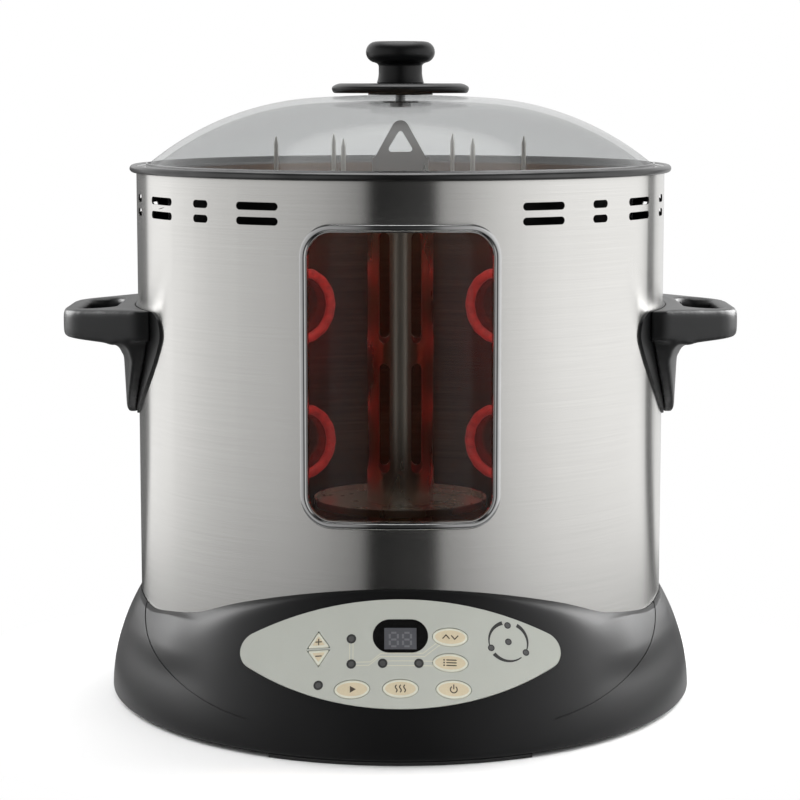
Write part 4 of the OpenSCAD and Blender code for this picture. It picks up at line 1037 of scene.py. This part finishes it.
def makeFloor():
    p = stagePlan
    material, finish = newMaterial("floorPale")
    spot = finish.add("ShaderNodeTexCoord", output="Object")
    away = finish.add("ShaderNodeVectorMath", {"operation": "LENGTH"}, {0: spot}, output="Value")
    clear = finish.add("ShaderNodeMapRange", {"interpolation_type": "SMOOTHSTEP", "clamp": True},
                       {"Value": away, "From Min": p["fadeFrom"], "From Max": p["fadeTo"], "To Min": 0.0,
                        "To Max": 1.0})
    matte = finish.add("ShaderNodeBsdfDiffuse", {}, {"Color": tone(p["floorTone"])})
    glow = finish.add("ShaderNodeEmission", {}, {"Color": tone(1), "Strength": 1.0})
    finish.end(finish.mix(clear * surroundRay(finish), matte, glow))
    bm = bmesh.new()
    bmesh.ops.create_grid(bm, x_segments=1, y_segments=1, size=p["floorSize"] / 2)
    return stageObject("floor", bm, material)


floor = makeFloor()

# a ring of reflection cards: azimuth in degrees from straight ahead, right positive, and its grey level
cardLevels = [(-180, 0.16), (-136, 0.16), (-132, 0.95), (-112, 0.95), (-92, 0.76), (-77, 0.66), (-60, 0.58),
              (-47, 0.54), (-33, 0.46), (-22, 0.36), (-15, 0.26), (-11, 0.02), (0, 0.035), (12.5, 0.05), (16.5, 0.36),
              (31, 0.58), (45, 0.78), (65, 0.95), (87, 1.0), (118, 1.0), (124, 0.85), (127, 0.14), (134, 0.14),
              (138, 0.8), (176, 0.8), (180, 0.16)]


def makeCards(name, outline, share, half=180):
    material, finish = newMaterial(name)
    spot = finish.add("ShaderNodeTexCoord", output="Object")
    turned90 = finish.add("ShaderNodeMapping", {}, {"Vector": spot, "Rotation": (0, 0, math.pi / 2),
                                                    "Location": (axisY * mm, 0, 0)})
    around = finish.add("ShaderNodeTexGradient", {"gradient_type": "RADIAL"}, {"Vector": turned90}, output=1)
    stops = [((azimuth + 180) / 360, tone(level * share)) for azimuth, level in cardLevels]
    finish.end(finish.add("ShaderNodeEmission", {}, {"Color": finish.ramp(around, stops), "Strength": 1.0}))
    bm = bmesh.new()
    corners = [bm.verts.new((0, -r, z)) for r, z in outline]
    geom = corners + [bm.edges.new(pair) for pair in zip(corners, corners[1:])]
    bmesh.ops.rotate(bm, verts=corners, cent=(0, 0, 0), matrix=Matrix.Rotation(math.radians(-half), 3, "Z"))
    bmesh.ops.spin(bm, geom=geom, cent=(0, 0, 0), axis=(0, 0, 1), angle=math.radians(2 * half), steps=120,
                   use_merge=half == 180)
    toAxis(bm)
    cards = stageObject(name, bm, material)
    for ray in ("visible_camera", "visible_diffuse", "visible_shadow", "visible_transmission"):
        setattr(cards, ray, False)


makeCards("wallCards", ((1.2, 0.0), (1.2, 0.45)), 1.0)
makeCards("frontCards", ((1.2, 0.45), (1.2, 1.1)), 1.0, half=115)
makeCards("highCards", ((1.2, 1.1), (1.2, 3.2)), 0.12, half=115)
makeCards("nearFloorCards", ((0.235, 0.0015), (0.55, 0.0015)), 0.3)
makeCards("floorCards", ((0.55, 0.0015), (1.2, 0.0015)), 1.0)

boxLit = bpy.data.collections.new("boxLit")  # two soft boxes light only the base, the grips and the floor
for piece in (baseShell, floor, *grips):
    boxLit.objects.link(piece)


def makeLamp(name, at, target, size, radiance, glossy, only=None):
    lamp = bpy.data.lights.new(name, "AREA")
    lamp.shape = "DISK"
    lamp.size = size
    lamp.energy = radiance * math.pi * math.pi * (size / 2) ** 2
    holder = bpy.data.objects.new(name, lamp)
    holder.location = at
    holder.rotation_euler = (Vector(target) - Vector(at)).to_track_quat("-Z", "Y").to_euler()
    holder.visible_camera = False
    holder.visible_glossy = glossy
    holder.light_linking.receiver_collection = only
    scene.collection.objects.link(holder)


for plan in (
        ("softTop", (0, 0.35, 1.9), (0, 0, 0.2), 1.5, 2.4, True),
        ("boxLeft", (-0.98, 0.38, 0.58), (0, 0, 0.1), 0.8, 8.0, True, boxLit),
        ("boxRight", (0.95, 0.45, 0.58), (0, 0, 0.1), 1.0, 9.0, True, boxLit),
        ("fillLeft", (-1.6, -1.2, 0.9), (0, 0, 0.2), 1.2, 0.6, False),
        ("fillRight", (1.6, -1.2, 0.9), (0, 0, 0.2), 1.2, 1.6, False)):
    makeLamp(*plan)

glowPlan = dict(at=(0, axisY - 95, 318), energy=1.2, colour=(1.0, 0.62, 0.34), size=20)


def makeGlow():
    # warm light of the hot oven
    p = glowPlan
    lamp = bpy.data.lights.new("ovenGlow", "POINT")
    lamp.energy, lamp.color, lamp.shadow_soft_size = p["energy"], p["colour"], p["size"] * mm
    holder = bpy.data.objects.new("ovenGlow", lamp)
    holder.location = [part * mm for part in p["at"]]
    holder.visible_camera = holder.visible_glossy = False
    scene.collection.objects.link(holder)


makeGlow()
print("stage ready")
